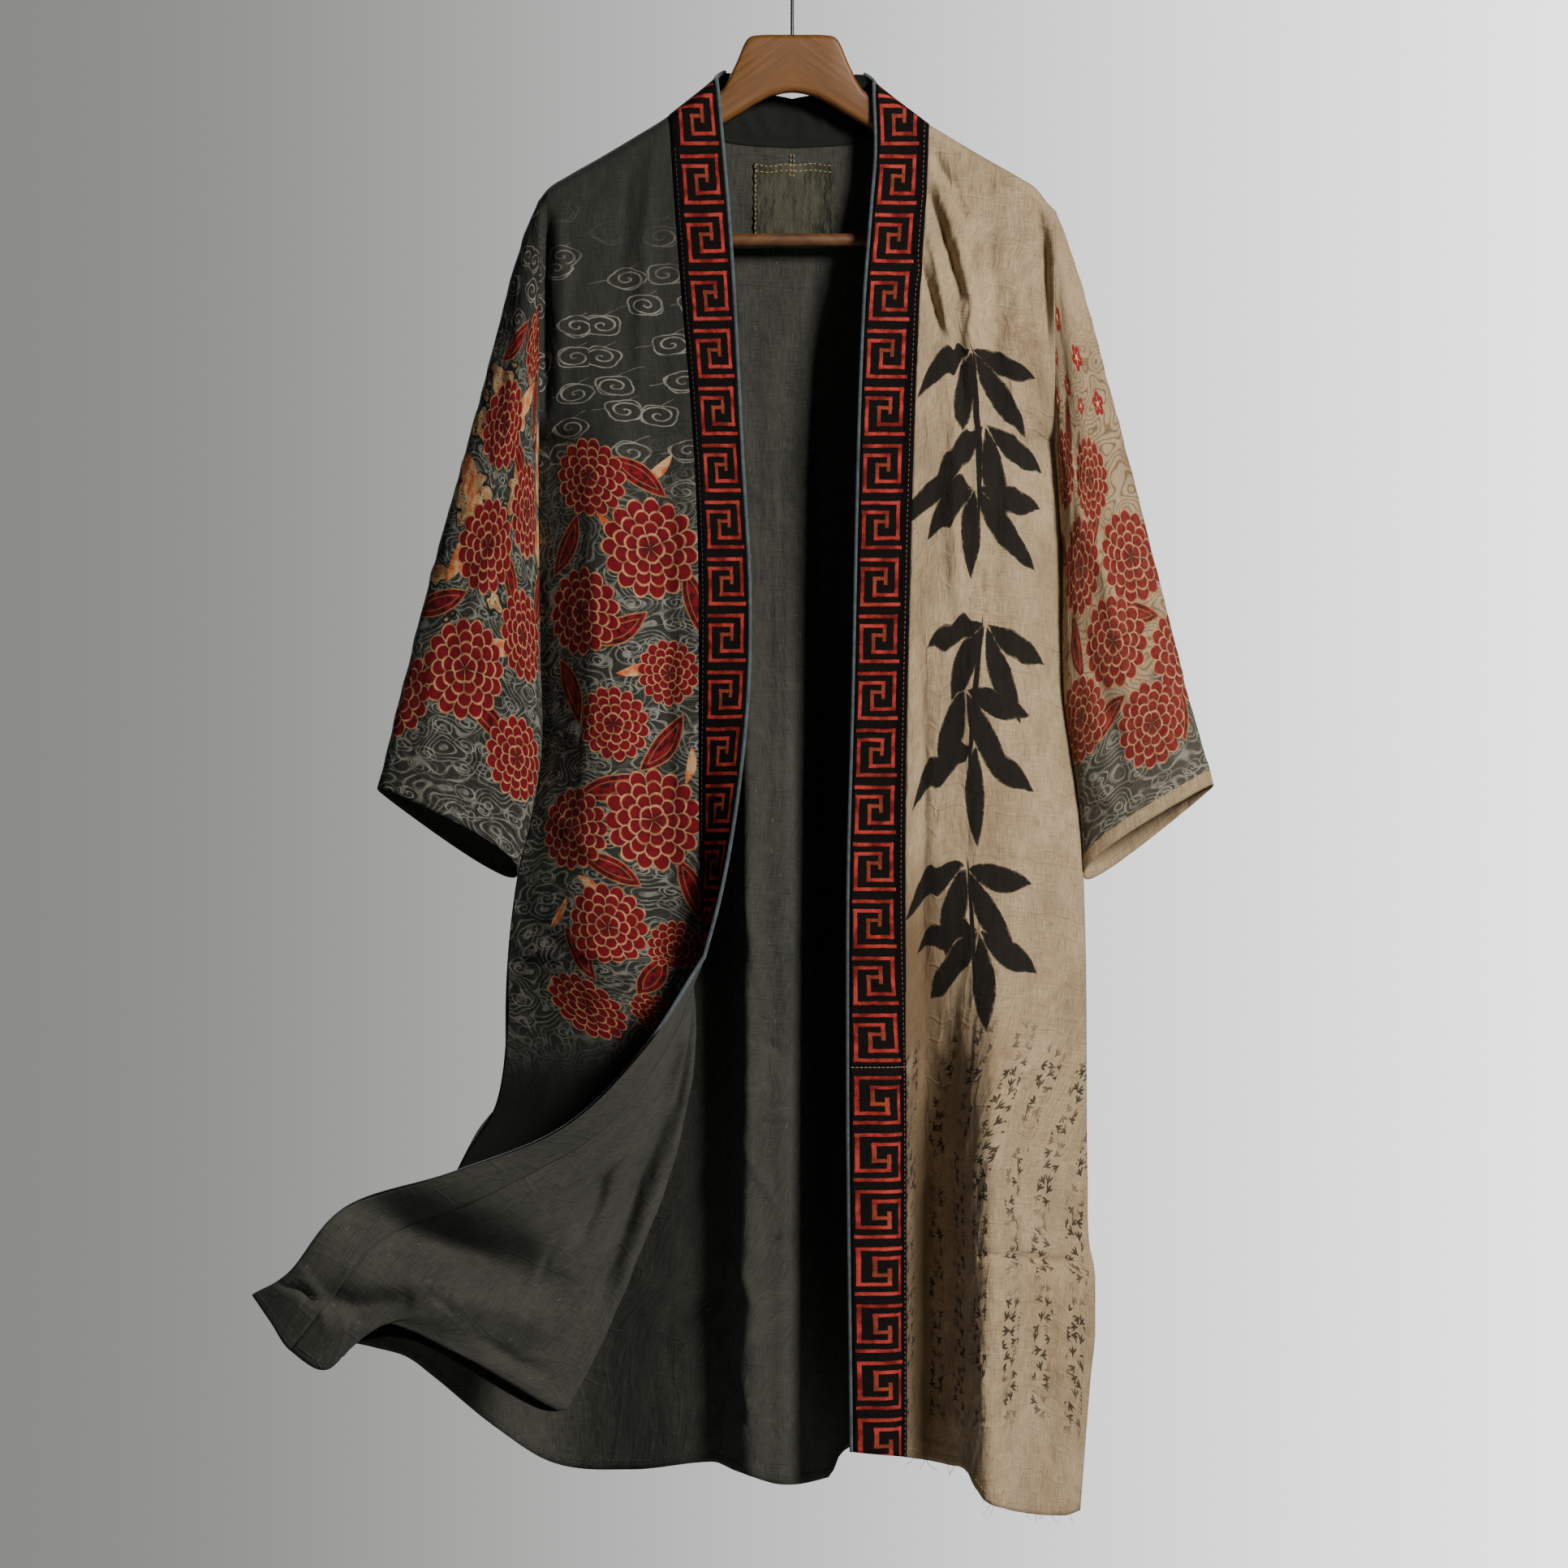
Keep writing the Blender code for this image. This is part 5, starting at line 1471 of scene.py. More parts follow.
def tint(red, green, blue):
    """A colour given as display numbers from 0 to 255, made linear."""
    shares = [value / 255 for value in (red, green, blue)]
    return tuple(s / 12.92 if s <= 0.04045 else ((s + 0.055) / 1.055) ** 2.4 for s in shares)


CHARCOAL_DARK = tint(26, 27, 24)
CHARCOAL_PALE = tint(72, 72, 65)
CLOUD_LINE = tint(142, 141, 128)
LINT = tint(98, 96, 86)
TAN_PALE = tint(181, 160, 128)
TAN_DARK = tint(132, 109, 79)
# Brown of stains, also the colour of the painted shade low beside the tan neckband's seam.
STAIN_AND_SHADE = tint(94, 72, 48)
SMUDGE = tint(112, 98, 82)
INK = tint(11, 10, 10)
CRIMSON = tint(122, 13, 25)
CRIMSON_DARK = tint(56, 5, 10)
CREAM = tint(206, 160, 112)
CREAM_DARK = tint(150, 104, 66)
CLOUD_CREAM = tint(196, 164, 118)
ORANGE = tint(200, 92, 44)
BAND_RED = tint(184, 64, 56)
BAND_RED_DARK = tint(104, 30, 28)
BAND_GROUND = tint(8, 6, 6)
BAND_GROUND_PALE = tint(20, 17, 16)
BAND_THREAD = tint(44, 41, 37)
BAND_FADED = tint(112, 64, 40)
PIPING_BLUE = tint(92, 101, 104)
PIPING_DARK = tint(38, 47, 52)
PATCH_PALE = tint(72, 71, 58)
PATCH_DARK = tint(26, 26, 21)
THREAD = tint(190, 160, 108)
PINK_THREAD = tint(160, 110, 98)
JOIN_THREAD = tint(158, 140, 106)
DARK_THREAD = tint(74, 72, 64)
WOOD = tint(120, 77, 29)
WOOD_DARK = tint(86, 52, 20)
WOOD_PORE = tint(62, 34, 18)
BAR_WOOD = tint(106, 68, 33)
BAR_WOOD_DARK = tint(66, 38, 17)
WIRE = tint(96, 94, 90)
WIRE_DARK = tint(46, 45, 43)
FLOOR_PALE = tint(192, 193, 191)
FLOOR_DARK = tint(178, 179, 176)
PRINT_SHADE = 0.45
LINING_SHADE = 1.0


def weave(finish, u, v, thread=0.0013):
    """Height of a one-over-one-under weave with thick and thin threads, about 0 to 1."""
    drift = finish.noise(u, v, 50, 1)
    warp = ((u / thread + drift * 1.4) * math.tau).wave()
    weft = ((v / (thread * 1.1) + drift * 1.4) * math.tau).wave()
    slub_down = finish.noise(u, v * 0.06, 900, 1)
    slub_across = finish.noise(u * 0.06, v, 800, 1)
    return (warp * weft).plus(0.16, 0.0) + slub_down * 0.8 + slub_across * 0.7 - 0.25


def streaks(finish, u, v):
    """Light and dark streaks of uneven threads and wear, about 0 to 1."""
    down = finish.noise(u, v * 0.07, 900, 2, 0.6)
    across = finish.noise(u * 0.09, v, 760, 2, 0.6)
    worn = finish.noise(u, v * 0.5, 18, 4, 0.65)
    return down * 0.42 + across * 0.28 + worn * 0.30


def crinkle(finish, u, v):
    """Height of small crushed creases that run mostly down the cloth, about 0 to 1."""
    soft = finish.noise(u, v * 0.22, 70, 3, 0.6)
    sharp = (finish.noise(u, v * 0.3, 38) - 0.5).size()
    across = (finish.noise(u * 0.18, v, 26) - 0.5).size()
    return soft * 0.7 - sharp.between(0.0, 0.06) * 0.16 - across.between(0.0, 0.03) * 0.16


def hem_fold(finish, height):
    """Height of the turned hem: raised below its stitched line, about 0 to 1."""
    from_side, from_hem = finish.from_edges()
    turned = 1 - from_hem.between(height - 0.0008, height)
    pucker = (from_side * (math.tau / 0.0046)).wave() * from_hem.near(height, 0.0016, 0.0014)
    return turned - pucker * 0.12, turned


def dark_between_threads(finish, threads, share, colour, dark):
    """A printed colour, darker where the threads lie low."""
    low = 1 - (threads - 0.35).between(-0.25, 0.45)
    return finish.blend(low * share, colour, dark)


def charcoal_ground(finish, u, v):
    """Colour of the charcoal linen and its height."""
    tone = streaks(finish, u, v)
    colour = finish.blend(tone.between(0.18, 0.78), CHARCOAL_DARK, CHARCOAL_PALE)
    return colour, weave(finish, u, v)


def charcoal_linen(name="charcoal linen", shade=0.0):
    finish = Finish(name, 0.92, sheen=0.04)
    u, v = finish.lengths()
    colour, threads = charcoal_ground(finish, u, v)
    fold, turned = hem_fold(finish, HEM_HEIGHT)
    lint = finish.noise(u, v * 0.5, 240, 1).between(0.70, 0.76)
    colour = finish.blend(lint * 0.35, colour, LINT)
    finish.paint(finish.blend(turned.plus(0.18, shade), colour, CHARCOAL_DARK))
    finish.relief(threads * 0.30 + crinkle(finish, u, v) * 1.3 + fold * 0.35, 0.0016, 0.8)
    return finish.material


def swirl_lines(finish, u, v, size, turns, thin):
    """Curling cloud lines in scattered cells, 1 on a line."""
    x, y, chance = finish.cells(u, v * 1.5, size, 0.75)
    y = y * 1.25
    radius = (x * x + y * y).root()
    around = y.turn_from(x)
    handed = (chance > 0.5) * 2 - 1
    coil = (radius * turns - around * handed + chance * 3.0).part()
    reach = 0.40 - ((around * 4.0 + chance * 5.0).part() - 0.5).size() * 0.14
    inside = 1 - (radius - reach).between(-0.02, 0.0)
    curl = coil.near(0.5, thin, thin * 0.5) * inside
    rim = (radius - reach).near(0.0, 0.018, 0.010)
    tail = (x * 0.7 - y - 0.30 + (x * 6.0).wave() * 0.05).near(0.0, 0.012, 0.010) * (1 - inside)
    return curl.most(rim).most(tail * 0.7)


def placed(finish, point, row):
    """A point in the frame of a printed shape: across, down, half length, half width, turn."""
    across, down, length, width = metres(tuple(row[:4]))
    sockets = {
        "Vector": point,
        "Location": (across, down, 0),
        "Rotation": (0, 0, row[4]),
        "Scale": (length, width, 1),
    }
    return finish.node("Mapping", {"vector_type": "TEXTURE"}, sockets)


def nearest_flower(finish, u, v, flowers):
    """Place within the nearest flower of a table of middle, radius and turn, in its radii."""
    point = finish.vector(u, v)
    nearest = None
    for across, down, radius, turn in flowers:
        place = placed(finish, point, (across, down, radius, radius, turn))
        away = finish.node("VectorMath", {"operation": "LENGTH"}, {0: place}, output=1)
        if nearest is None:
            best, nearest = place, away
            continue
        best = finish.node("Mix", {"data_type": "VECTOR"}, {0: away < nearest, 4: best, 5: place}, output=1)
        nearest = nearest.least(away)
    return *finish.split(best)[:2], nearest


# Petals of a large blossom, a row for each ring: reach, petals, turn
PETAL_RINGS = ((1.0, 15, 0.0), (0.76, 12, 0.5), (0.53, 9, 0.2), (0.29, 5, 0.6))


def blossom(x, y, radius):
    """A many-petalled flower: where it is, its outlines and its shade, each 0 to 1."""
    around = y.turn_from(x)
    inside = None
    for reach, petals, shift in PETAL_RINGS:
        side = (around.plus(petals, shift).part() - 0.5).size()
        room = (side * side).plus(-0.62 * reach, reach) - radius
        ring = room.between(0.0, 0.012)
        lines = (side.between(0.42, 0.49) * ring).most(1 - room.size().between(0.014, 0.034))
        glow = side.plus(-0.9, radius * (1 / reach))
        if inside is None:
            inside, outline, shade = ring, lines, glow
            continue
        outline = (1 - ring).plus(outline, lines)
        shade = ring.plus(glow - shade, shade)
    outline = outline.least(1.0)
    return inside.most(outline), outline, shade


def small_blossom(x, y, radius):
    """A flower of five round petals: where it is, its outline and its heart."""
    around = y.turn_from(x)
    side = ((around * 5).part() - 0.5).size() * 2
    room = 0.98 - side * side * 0.34 - radius
    heart = (0.22 - radius).between(0.0, 0.04)
    spokes = side.near(0.0, 0.10, 0.05) * (0.55 - radius).between(0.0, 0.05)
    return room.between(0.0, 0.04), room.near(0.0, 0.045, 0.03), heart.most(spokes)


def leaves(finish, u, v, table, bend=0.35):
    """Room inside the nearest of some pointed leaves: above 0 inside one."""
    point = finish.vector(u, v)
    best = None
    for row in table:
        along, beside = finish.split(placed(finish, point, row))[:2]
        body = 1 - along * along
        room = body - body.plus(-bend, beside).size()
        best = room if best is None else best.most(room)
    return best


def veined_leaves(finish, u, v, colour, table):
    """Leaves with a pale outline laid over a colour."""
    room = leaves(finish, u, v, table)
    inside = room.between(0.0, 0.05)
    tone = finish.noise(u, v, 160)
    filled = finish.blend(tone.between(0.35, 0.65), CRIMSON_DARK, CRIMSON)
    colour = finish.blend(inside, colour, filled)
    line_share = room.near(0.02, 0.06, 0.04).most(room.near(0.52, 0.05, 0.04) * 0.6)
    return finish.blend(line_share, colour, CREAM_DARK), inside


def red_blossoms(finish, u, v, colour, flowers):
    """Large red blossoms with cream outlines laid over a colour."""
    x, y, radius = nearest_flower(finish, u, v, flowers)
    inside, outline, shade = blossom(x, y, radius)
    tone = finish.noise(u, v, 120, 3)
    petal = finish.blend(shade * 0.75 + tone * 0.5 - 0.1, CRIMSON_DARK, CRIMSON)
    petal = finish.blend(outline * (tone.between(0.30, 0.65) * 0.50 + 0.22), petal, CREAM)
    return finish.blend(inside, colour, petal), inside, outline


def flow_lines(finish, u, v):
    """Close lines that flow round each other between the clouds, 1 on a line."""
    bend = finish.noise(u, v * 1.4, 19, 1, 0.4)
    return (bend * 17.0).part().near(0.5, 0.13, 0.09)


def cloud_ground(finish, u, v, colour, lines):
    """Grey curling cloud lines laid over the ground."""
    worn = finish.noise(u, v, 90).between(0.30, 0.62)
    return finish.blend(lines * (worn * 0.6 + 0.3), colour, CLOUD_LINE)


def cream_clouds(finish, u, v, colour, window):
    """Cream clouds with dark lines in them, within a window from 0 to 1."""
    drift = finish.noise(u, v * 1.3, 21) + (window - 1) * 0.3
    inside = drift.between(0.535, 0.550)
    colour = finish.blend(drift.near(0.530, 0.016, 0.008), colour, CHARCOAL_DARK)
    cloud = finish.blend(finish.noise(u, v, 60).between(0.35, 0.65), CREAM_DARK, CLOUD_CREAM)
    lines = (drift * 46.0).part().near(0.5, 0.12, 0.08)
    return finish.blend(inside, colour, finish.blend(lines * 0.85, cloud, CHARCOAL_DARK))


def charcoal_print(name, flowers, sprays, accents, sparse, dense, clouds=None, painted_shade_span=None):
    """Charcoal linen printed with clouds, red blossoms and leaves.

    sparse and dense are the lengths down the cloth where the clouds start and where they
    become small and close. clouds is where the cream clouds are full and where they end.
    plain is where the print's lines fade out and the ground darkens to CHARCOAL_DARK, a
    painted shade of the lower front, which lies in shadow.
    """
    finish = Finish(name, 0.90, sheen=0.03)
    u, v = finish.lengths()
    colour, threads = charcoal_ground(finish, u, v)
    wander = v + (finish.noise(u, v, 14) - 0.5) * 0.12
    fine = wander.between(*dense)
    large = swirl_lines(finish, u, v, 0.050, 4.5, 0.10) * wander.between(*sparse) * (1 - fine * 0.8)
    curls = swirl_lines(finish, u + 0.7, v, 0.030, 4.5, 0.13)
    lines = large.most(curls * fine).most(flow_lines(finish, u, v) * fine * 0.75)
    shade = PRINT_SHADE
    # Painted shade: low on the cloth the print's lines fade out and the ground goes to CHARCOAL_DARK, where
    # the lower front lies in shadow.
    if painted_shade_span:
        painted_shade_share = (v + (lines - 0.5) * 0.02).between(*painted_shade_span)
        lines = lines * (1 - painted_shade_share)
        shade = painted_shade_share * (1 - PRINT_SHADE) + PRINT_SHADE
    colour = cloud_ground(finish, u, v, finish.blend(shade, colour, CHARCOAL_DARK), lines)
    if clouds:
        colour = cream_clouds(finish, u, v, colour, v.near(*clouds, 0.05))
    room = leaves(finish, u, v, accents, 0.6)
    flame = finish.blend(finish.noise(u, v, 70).between(0.4, 0.6), ORANGE, CREAM)
    colour = finish.blend(room.between(0.0, 0.06) * 0.9, colour, flame)
    colour, leaf_share = veined_leaves(finish, u, v, colour, sprays)
    colour, petal_share, outline = red_blossoms(finish, u, v, colour, flowers)
    finish.paint(dark_between_threads(finish, threads, 0.34, colour, CHARCOAL_DARK))
    raised = (lines * 0.5).most(petal_share * 0.35 + outline * 0.4).most(leaf_share * 0.35)
    finish.relief(threads * 0.35 + raised * 0.30 + crinkle(finish, u, v) * 0.7, 0.0014, 0.75)
    return finish.material


def tan_ground(finish, u, v):
    """Colour of the aged tan linen and its height."""
    tone = streaks(finish, u, v)
    colour = finish.blend(tone.between(0.32, 0.66), TAN_DARK, TAN_PALE)
    blotch = finish.noise(u, v * 0.6, 9, 4, 0.65)
    colour = finish.blend(blotch.between(0.42, 0.70) * 0.40, colour, TAN_DARK)
    smudge = finish.noise(u + 7.0, v * 0.45, 26, 3, 0.6)
    colour = finish.blend(smudge.between(0.40, 0.72) * 0.34, colour, SMUDGE)
    stain = finish.noise(u + 3.0, v * 0.8, 18, 4, 0.7)
    colour = finish.blend(stain.between(0.56, 0.74) * 0.50, colour, STAIN_AND_SHADE)
    fleck = finish.noise(u, v * 0.4, 420, 1).between(0.70, 0.76)
    colour = finish.blend(fleck * 0.5, colour, STAIN_AND_SHADE)
    return colour, weave(finish, u, v)


def hemmed_tan(finish, u, v, colour, threads):
    """The tan linen's turned hem and its relief."""
    fold, turned = hem_fold(finish, HEM_HEIGHT)
    finish.paint(finish.blend(turned * 0.12, colour, STAIN_AND_SHADE))
    finish.relief(threads * 0.30 + crinkle(finish, u, v) * 1.9 + fold * 0.25, 0.0016, 0.8)
    return finish.material


def tan_linen():
    finish = Finish("tan linen", 0.94, sheen=0.08)
    u, v = finish.lengths()
    return hemmed_tan(finish, u, v, *tan_ground(finish, u, v))


def brushed(finish, u, v, room):
    """Ink left by a dry brush where there is room: full in the middle, broken at the ends."""
    grain = finish.noise(u, v, 260, 3, 0.7)
    streak = finish.noise(u + v * 0.25, v - u * 0.2, 90, 2, 0.6)
    body = (room + (grain - 0.5) * 0.16).between(-0.01, 0.05)
    dry = (room * 1.6 + grain * 0.5 + streak * 0.7).between(0.62, 0.86)
    return body * (dry * 0.30 + 0.70)


def inked_tan_linen(name, strokes, stems):
    """Tan linen with large brushed leaves and small sprigs in ink.

    Low beside the neckband's seam it is darkened: painted shade of the valley there, with
    some brown staining.
    """
    finish = Finish(name, 0.94, sheen=0.08)
    u, v = finish.lengths()
    colour, threads = tan_ground(finish, u, v)
    ink = brushed(finish, u, v, leaves(finish, u, v, strokes, 0.25))
    ink = ink.most(brushed(finish, u, v, leaves(finish, u, v, stems, 0.10)))
    ink = ink.most(small_sprigs(finish, u, v))
    # Painted shade with some brown staining: low beside the neckband's seam the cloth is darkened towards
    # the stain colour, where the valley along the band lies in shadow.
    valley_shade_beside_seam = u.between(0.060, 0.020) * v.between(0.82, 0.94)
    worn = valley_shade_beside_seam * finish.noise(u, v, 14, 3).between(0.1, 0.5)
    colour = finish.blend(worn * 0.85, colour, STAIN_AND_SHADE)
    return hemmed_tan(finish, u, v, finish.blend(ink * 0.97, colour, INK), threads)


def small_sprigs(finish, u, v):
    """Little ink leaves in loose columns on the lower part of the cloth, faded by age."""
    x, y, chance = finish.cells(u, v, 0.0115, 0.7)
    turn = (chance * 7.0).part() * 5.2 - 2.6
    cosine = turn.math("COSINE")
    sine = turn.wave()
    along = x * sine + y * cosine
    beside = x * cosine - y * sine
    middle = 1 - (along * 2.0) ** 2 - (beside * 6.5).size()
    side = 1 - ((along + 0.12) * 3.6) ** 2 - ((beside.size() - 0.20 + along * 0.5) * 8.5).size()
    room = middle.most(side)
    column = ((u / 0.043 + 0.20).part() - 0.5).size()
    lower = v.between(0.99, 1.03) * (1 - v.between(1.36, 1.39))
    faded = finish.noise(u, v, 30).between(0.30, 0.56)
    return room.between(0.0, 0.25) * (0.29 - column).between(0.0, 0.03) * lower * faded * 0.9


def tan_print(name, flowers, sprays, blooms):
    """The tan sleeve: small red blossoms above, large ones on a dark cloud ground below."""
    finish = Finish(name, 0.92, sheen=0.08)
    u, v = finish.lengths()
    bare_tan, threads = tan_ground(finish, u, v)
    sketched = flow_lines(finish, u, v) * v.near(0.26, 0.17, 0.04)
    above = finish.blend(sketched * 0.8, bare_tan, STAIN_AND_SHADE)
    lines = swirl_lines(finish, u, v, 0.030, 4.5, 0.12).most(flow_lines(finish, u, v) * 0.75)
    below = cloud_ground(finish, u, v, charcoal_ground(finish, u, v)[0], lines)
    edge_noise = (finish.noise(u, v, 22, 3) - 0.5) * 0.09
    dark_share = ((0.125 - v + edge_noise) * 60.0).between(0.0, 1.0)
    colour = finish.blend(dark_share, above, below)
    x, y, radius = nearest_flower(finish, u, v, blooms)
    inside, rim, heart = small_blossom(x, y, radius)
    colour = finish.blend(inside, colour, CRIMSON)
    colour = finish.blend(heart.most(rim * 0.5) * inside, colour, CREAM)
    colour = veined_leaves(finish, u, v, colour, sprays)[0]
    colour = red_blossoms(finish, u, v, colour, flowers)[0]
    colour = finish.blend(1 - v.between(0.0125, 0.0140), colour, bare_tan)
    finish.paint(dark_between_threads(finish, threads, 0.26, colour, TAN_DARK))
    finish.relief(threads * 0.32 + crinkle(finish, u, v) * 0.8, 0.0015, 0.75)
    return finish.material


# The key pattern of one repeat, in millimetres: each bar's middle across and down, and its
# half sizes. The lines' own half width is KEY_LINE. The repeats are longer near the neck.
# The pattern runs in from the free edge, from the left or mirrored, and its heart is faded.
KEY_FROM_LEFT = (1000, -2.0)
KEY_FROM_RIGHT = (-1000, 40.0)
KEY_HALF = 18.0
KEY_HEART = (19.0, 22.5)
KEY_HEART_HALF = 9.5
NECK_STRETCH = 110
KEY_LINE = 1.75
KEY_PITCH = 51.5
KEY_BARS = (
    (18.0, 3.0, 18.0, KEY_LINE),
    (34.0, 19.0, KEY_LINE, 18.0),
    (24.0, 35.0, 12.0, KEY_LINE),
    (14.0, 27.5, KEY_LINE, 9.5),
    (19.0, 20.0, 7.0, KEY_LINE),
    (19.5, 43.5, 18.5, KEY_LINE),
    (3.0, 28.0, KEY_LINE, 17.0),
    (13.5, 11.5, 12.5, KEY_LINE),
    (24.0, 18.5, KEY_LINE, 7.5),
)


def key_pattern(s, t):
    """Room inside the lines of the key pattern, in millimetres, over 0 on a line."""
    best = None
    for middle_s, middle_t, half_s, half_t in KEY_BARS:
        beyond_s = (s - middle_s).size() - half_s
        beyond_t = (t - middle_t).size() - half_t
        room = 0 - beyond_s.most(beyond_t)
        best = room if best is None else best.most(room)
    return best


def key_band(name, from_left=True, downwards=True):
    """Black neckband with the red key pattern.

    from_left is True where the free edge is at the viewer's left. downwards is False where
    the pattern runs up.
    """
    finish = Finish(name, 0.92, shine=0.05)
    u, v = finish.lengths()
    wobble = (finish.noise(u, v, 60) - 0.5) * 1.2
    s = u.plus(*(KEY_FROM_LEFT if from_left else KEY_FROM_RIGHT)) + wobble
    near_neck = (0.5 - v).most(0.0)
    down = v * 1000 + near_neck * near_neck * NECK_STRETCH
    t = down * (1 if downwards else -1) + wobble
    t = (t / KEY_PITCH).part() * KEY_PITCH
    room = key_pattern(s, t)
    fuzz = finish.noise(u, v, 700)
    line_share = (room + (fuzz - 0.5) * 1.1).between(-0.2, 0.5)
    hatch = ((u * 0.3 + v) * (math.tau / 0.0021) + fuzz * 2.0).wave().between(-0.2, 0.9)
    worn = finish.noise(u, v, 55, 3, 0.6)
    ground = finish.blend(streaks(finish, u, v).between(0.3, 0.7), BAND_GROUND, BAND_GROUND_PALE)
    in_pattern = (KEY_HALF - (s - KEY_HALF).size()).between(-1.0, 0.5)
    ground = finish.blend(hatch * in_pattern * (1 - line_share) * 0.35, ground, BAND_THREAD)
    red = finish.blend(worn.between(0.35, 0.65), BAND_RED_DARK, BAND_RED)
    red = finish.blend(fuzz.between(0.45, 0.65) * 0.30, red, BAND_RED_DARK)
    inner = KEY_HEART_HALF - (s - KEY_HEART[0]).size().most((t - KEY_HEART[1]).size())
    red = finish.blend(inner.between(0.0, 1.5) * 0.5, red, BAND_FADED)
    finish.paint(finish.blend(line_share * 0.96, ground, red))
    threads = weave(finish, u, v, 0.0011)
    cord = (u * (math.tau / 0.0011)).wave() * 0.08
    finish.relief(line_share * 0.55 + threads * 0.28 + cord + hatch * 0.10, 0.0012, 0.9)
    return finish.material


def piping_cloth():
    finish = Finish("piping cloth", 0.75, sheen=0.2)
    x, y, z = finish.places()
    twill = ((x * 0.6 + z) * (math.tau / 0.0009)).wave()
    tone = finish.noise(x, z, 160, z=y)
    dirty = finish.noise(x, z, 26)
    colour = finish.blend(tone, PIPING_DARK, PIPING_BLUE)
    finish.paint(finish.blend(dirty.between(0.5, 0.7) * 0.4, colour, PIPING_DARK))
    finish.relief(twill * 0.4 + tone, 0.0003, 0.6)
    return finish.material


def patch_linen():
    finish = Finish("patch linen", 0.92, sheen=0.04)
    u, v = finish.lengths()
    down = finish.noise(u, v * 0.09, 420, 3, 0.65)
    middle = 1 - ((u - 0.034) * 26.0).size().between(0.2, 1.0)
    tone = down * 0.8 + finish.noise(u, v, 40) * 0.35 + middle * 0.12
    finish.paint(finish.blend(tone.between(0.42, 0.78), PATCH_DARK, PATCH_PALE))
    finish.relief(weave(finish, u, v) * 0.35 + crinkle(finish, u, v), 0.0013, 0.8)
    return finish.material


def stitch_thread(name, colour):
    finish = Finish(name, 0.6, sheen=0.2)
    x, _, z = finish.places()
    twist = ((x * 0.8 + z * 0.6) * (math.tau / 0.0006)).wave()
    tone = finish.noise(x, z, 300, 1)
    finish.paint(finish.blend(tone, tuple(0.55 * part for part in colour), colour))
    finish.relief(twist, 0.0001, 0.7)
    return finish.material


def hanger_wood(name, pale, dark):
    """Oiled wood, its grain along the arms, darker streaks and pores."""
    finish = Finish(name, 0.5, shine=0.5)
    x, y, z = finish.places()
    drop = x.size() * 0.72 + z
    lines = finish.noise(x.size() * 1.2, drop * 14.0, 14, 4, 0.6, z=y * 10.0)
    rings = (drop * 110.0 + lines * 5.0).wave()
    pores = finish.noise(x * 20.0, drop * 420.0, 3, 2, 0.6).between(0.62, 0.74)
    tone = lines * 0.8 + rings * 0.06
    colour = finish.blend(tone.between(0.08, 0.72), dark, pale)
    colour = finish.blend(pores * 0.35, colour, WOOD_PORE)
    finish.paint(colour)
    finish.roughen(lines * 0.16 + 0.44)
    finish.relief(lines * 0.5 - pores * 0.3, 0.0004, 0.5)
    return finish.material


def hook_wire():
    finish = Finish("hook wire", 0.34, shine=0.5)
    finish.shader.inputs["Metallic"].default_value = 1.0
    x, y, z = finish.places()
    scratches = finish.noise(x * 3.0, z, 900, z=y)
    finish.paint(finish.blend(scratches, WIRE_DARK, WIRE))
    finish.roughen(scratches * 0.25 + 0.25)
    return finish.material


def set_camera():
    """The photograph's view: straight on, from EYE_DISTANCE in front of the hook."""
    data = bpy.data.cameras.new("front view")
    data.sensor_width = SENSOR
    data.lens = SENSOR * EYE_DISTANCE / VIEW_WIDTH
    data.clip_end = 60
    camera = put("front view", data)
    camera.location = (EYE_SIDE, -EYE_DISTANCE, EYE_HEIGHT)
    camera.rotation_euler = (math.pi / 2, 0, 0)
    bpy.context.scene.camera = camera


def set_light(name, place, target, side, power, colour):
    data = bpy.data.lights.new(name, "AREA")
    data.size = side
    data.energy = power
    data.color = colour
    light = put(name, data)
    light.location = place
    light.rotation_euler = (Vector(target) - Vector(place)).to_track_quat("-Z", "Y").to_euler()


def mixed_colour(tree, share, first, second):
    """The output of a node that mixes two colours of the studio."""
    node = tree.nodes.new("ShaderNodeMix")
    node.data_type = "RGBA"
    tree.links.new(share, node.inputs[0])
    node.inputs[6].default_value = (*first, 1)
    node.inputs[7].default_value = (*second, 1)
    return node.outputs[2]


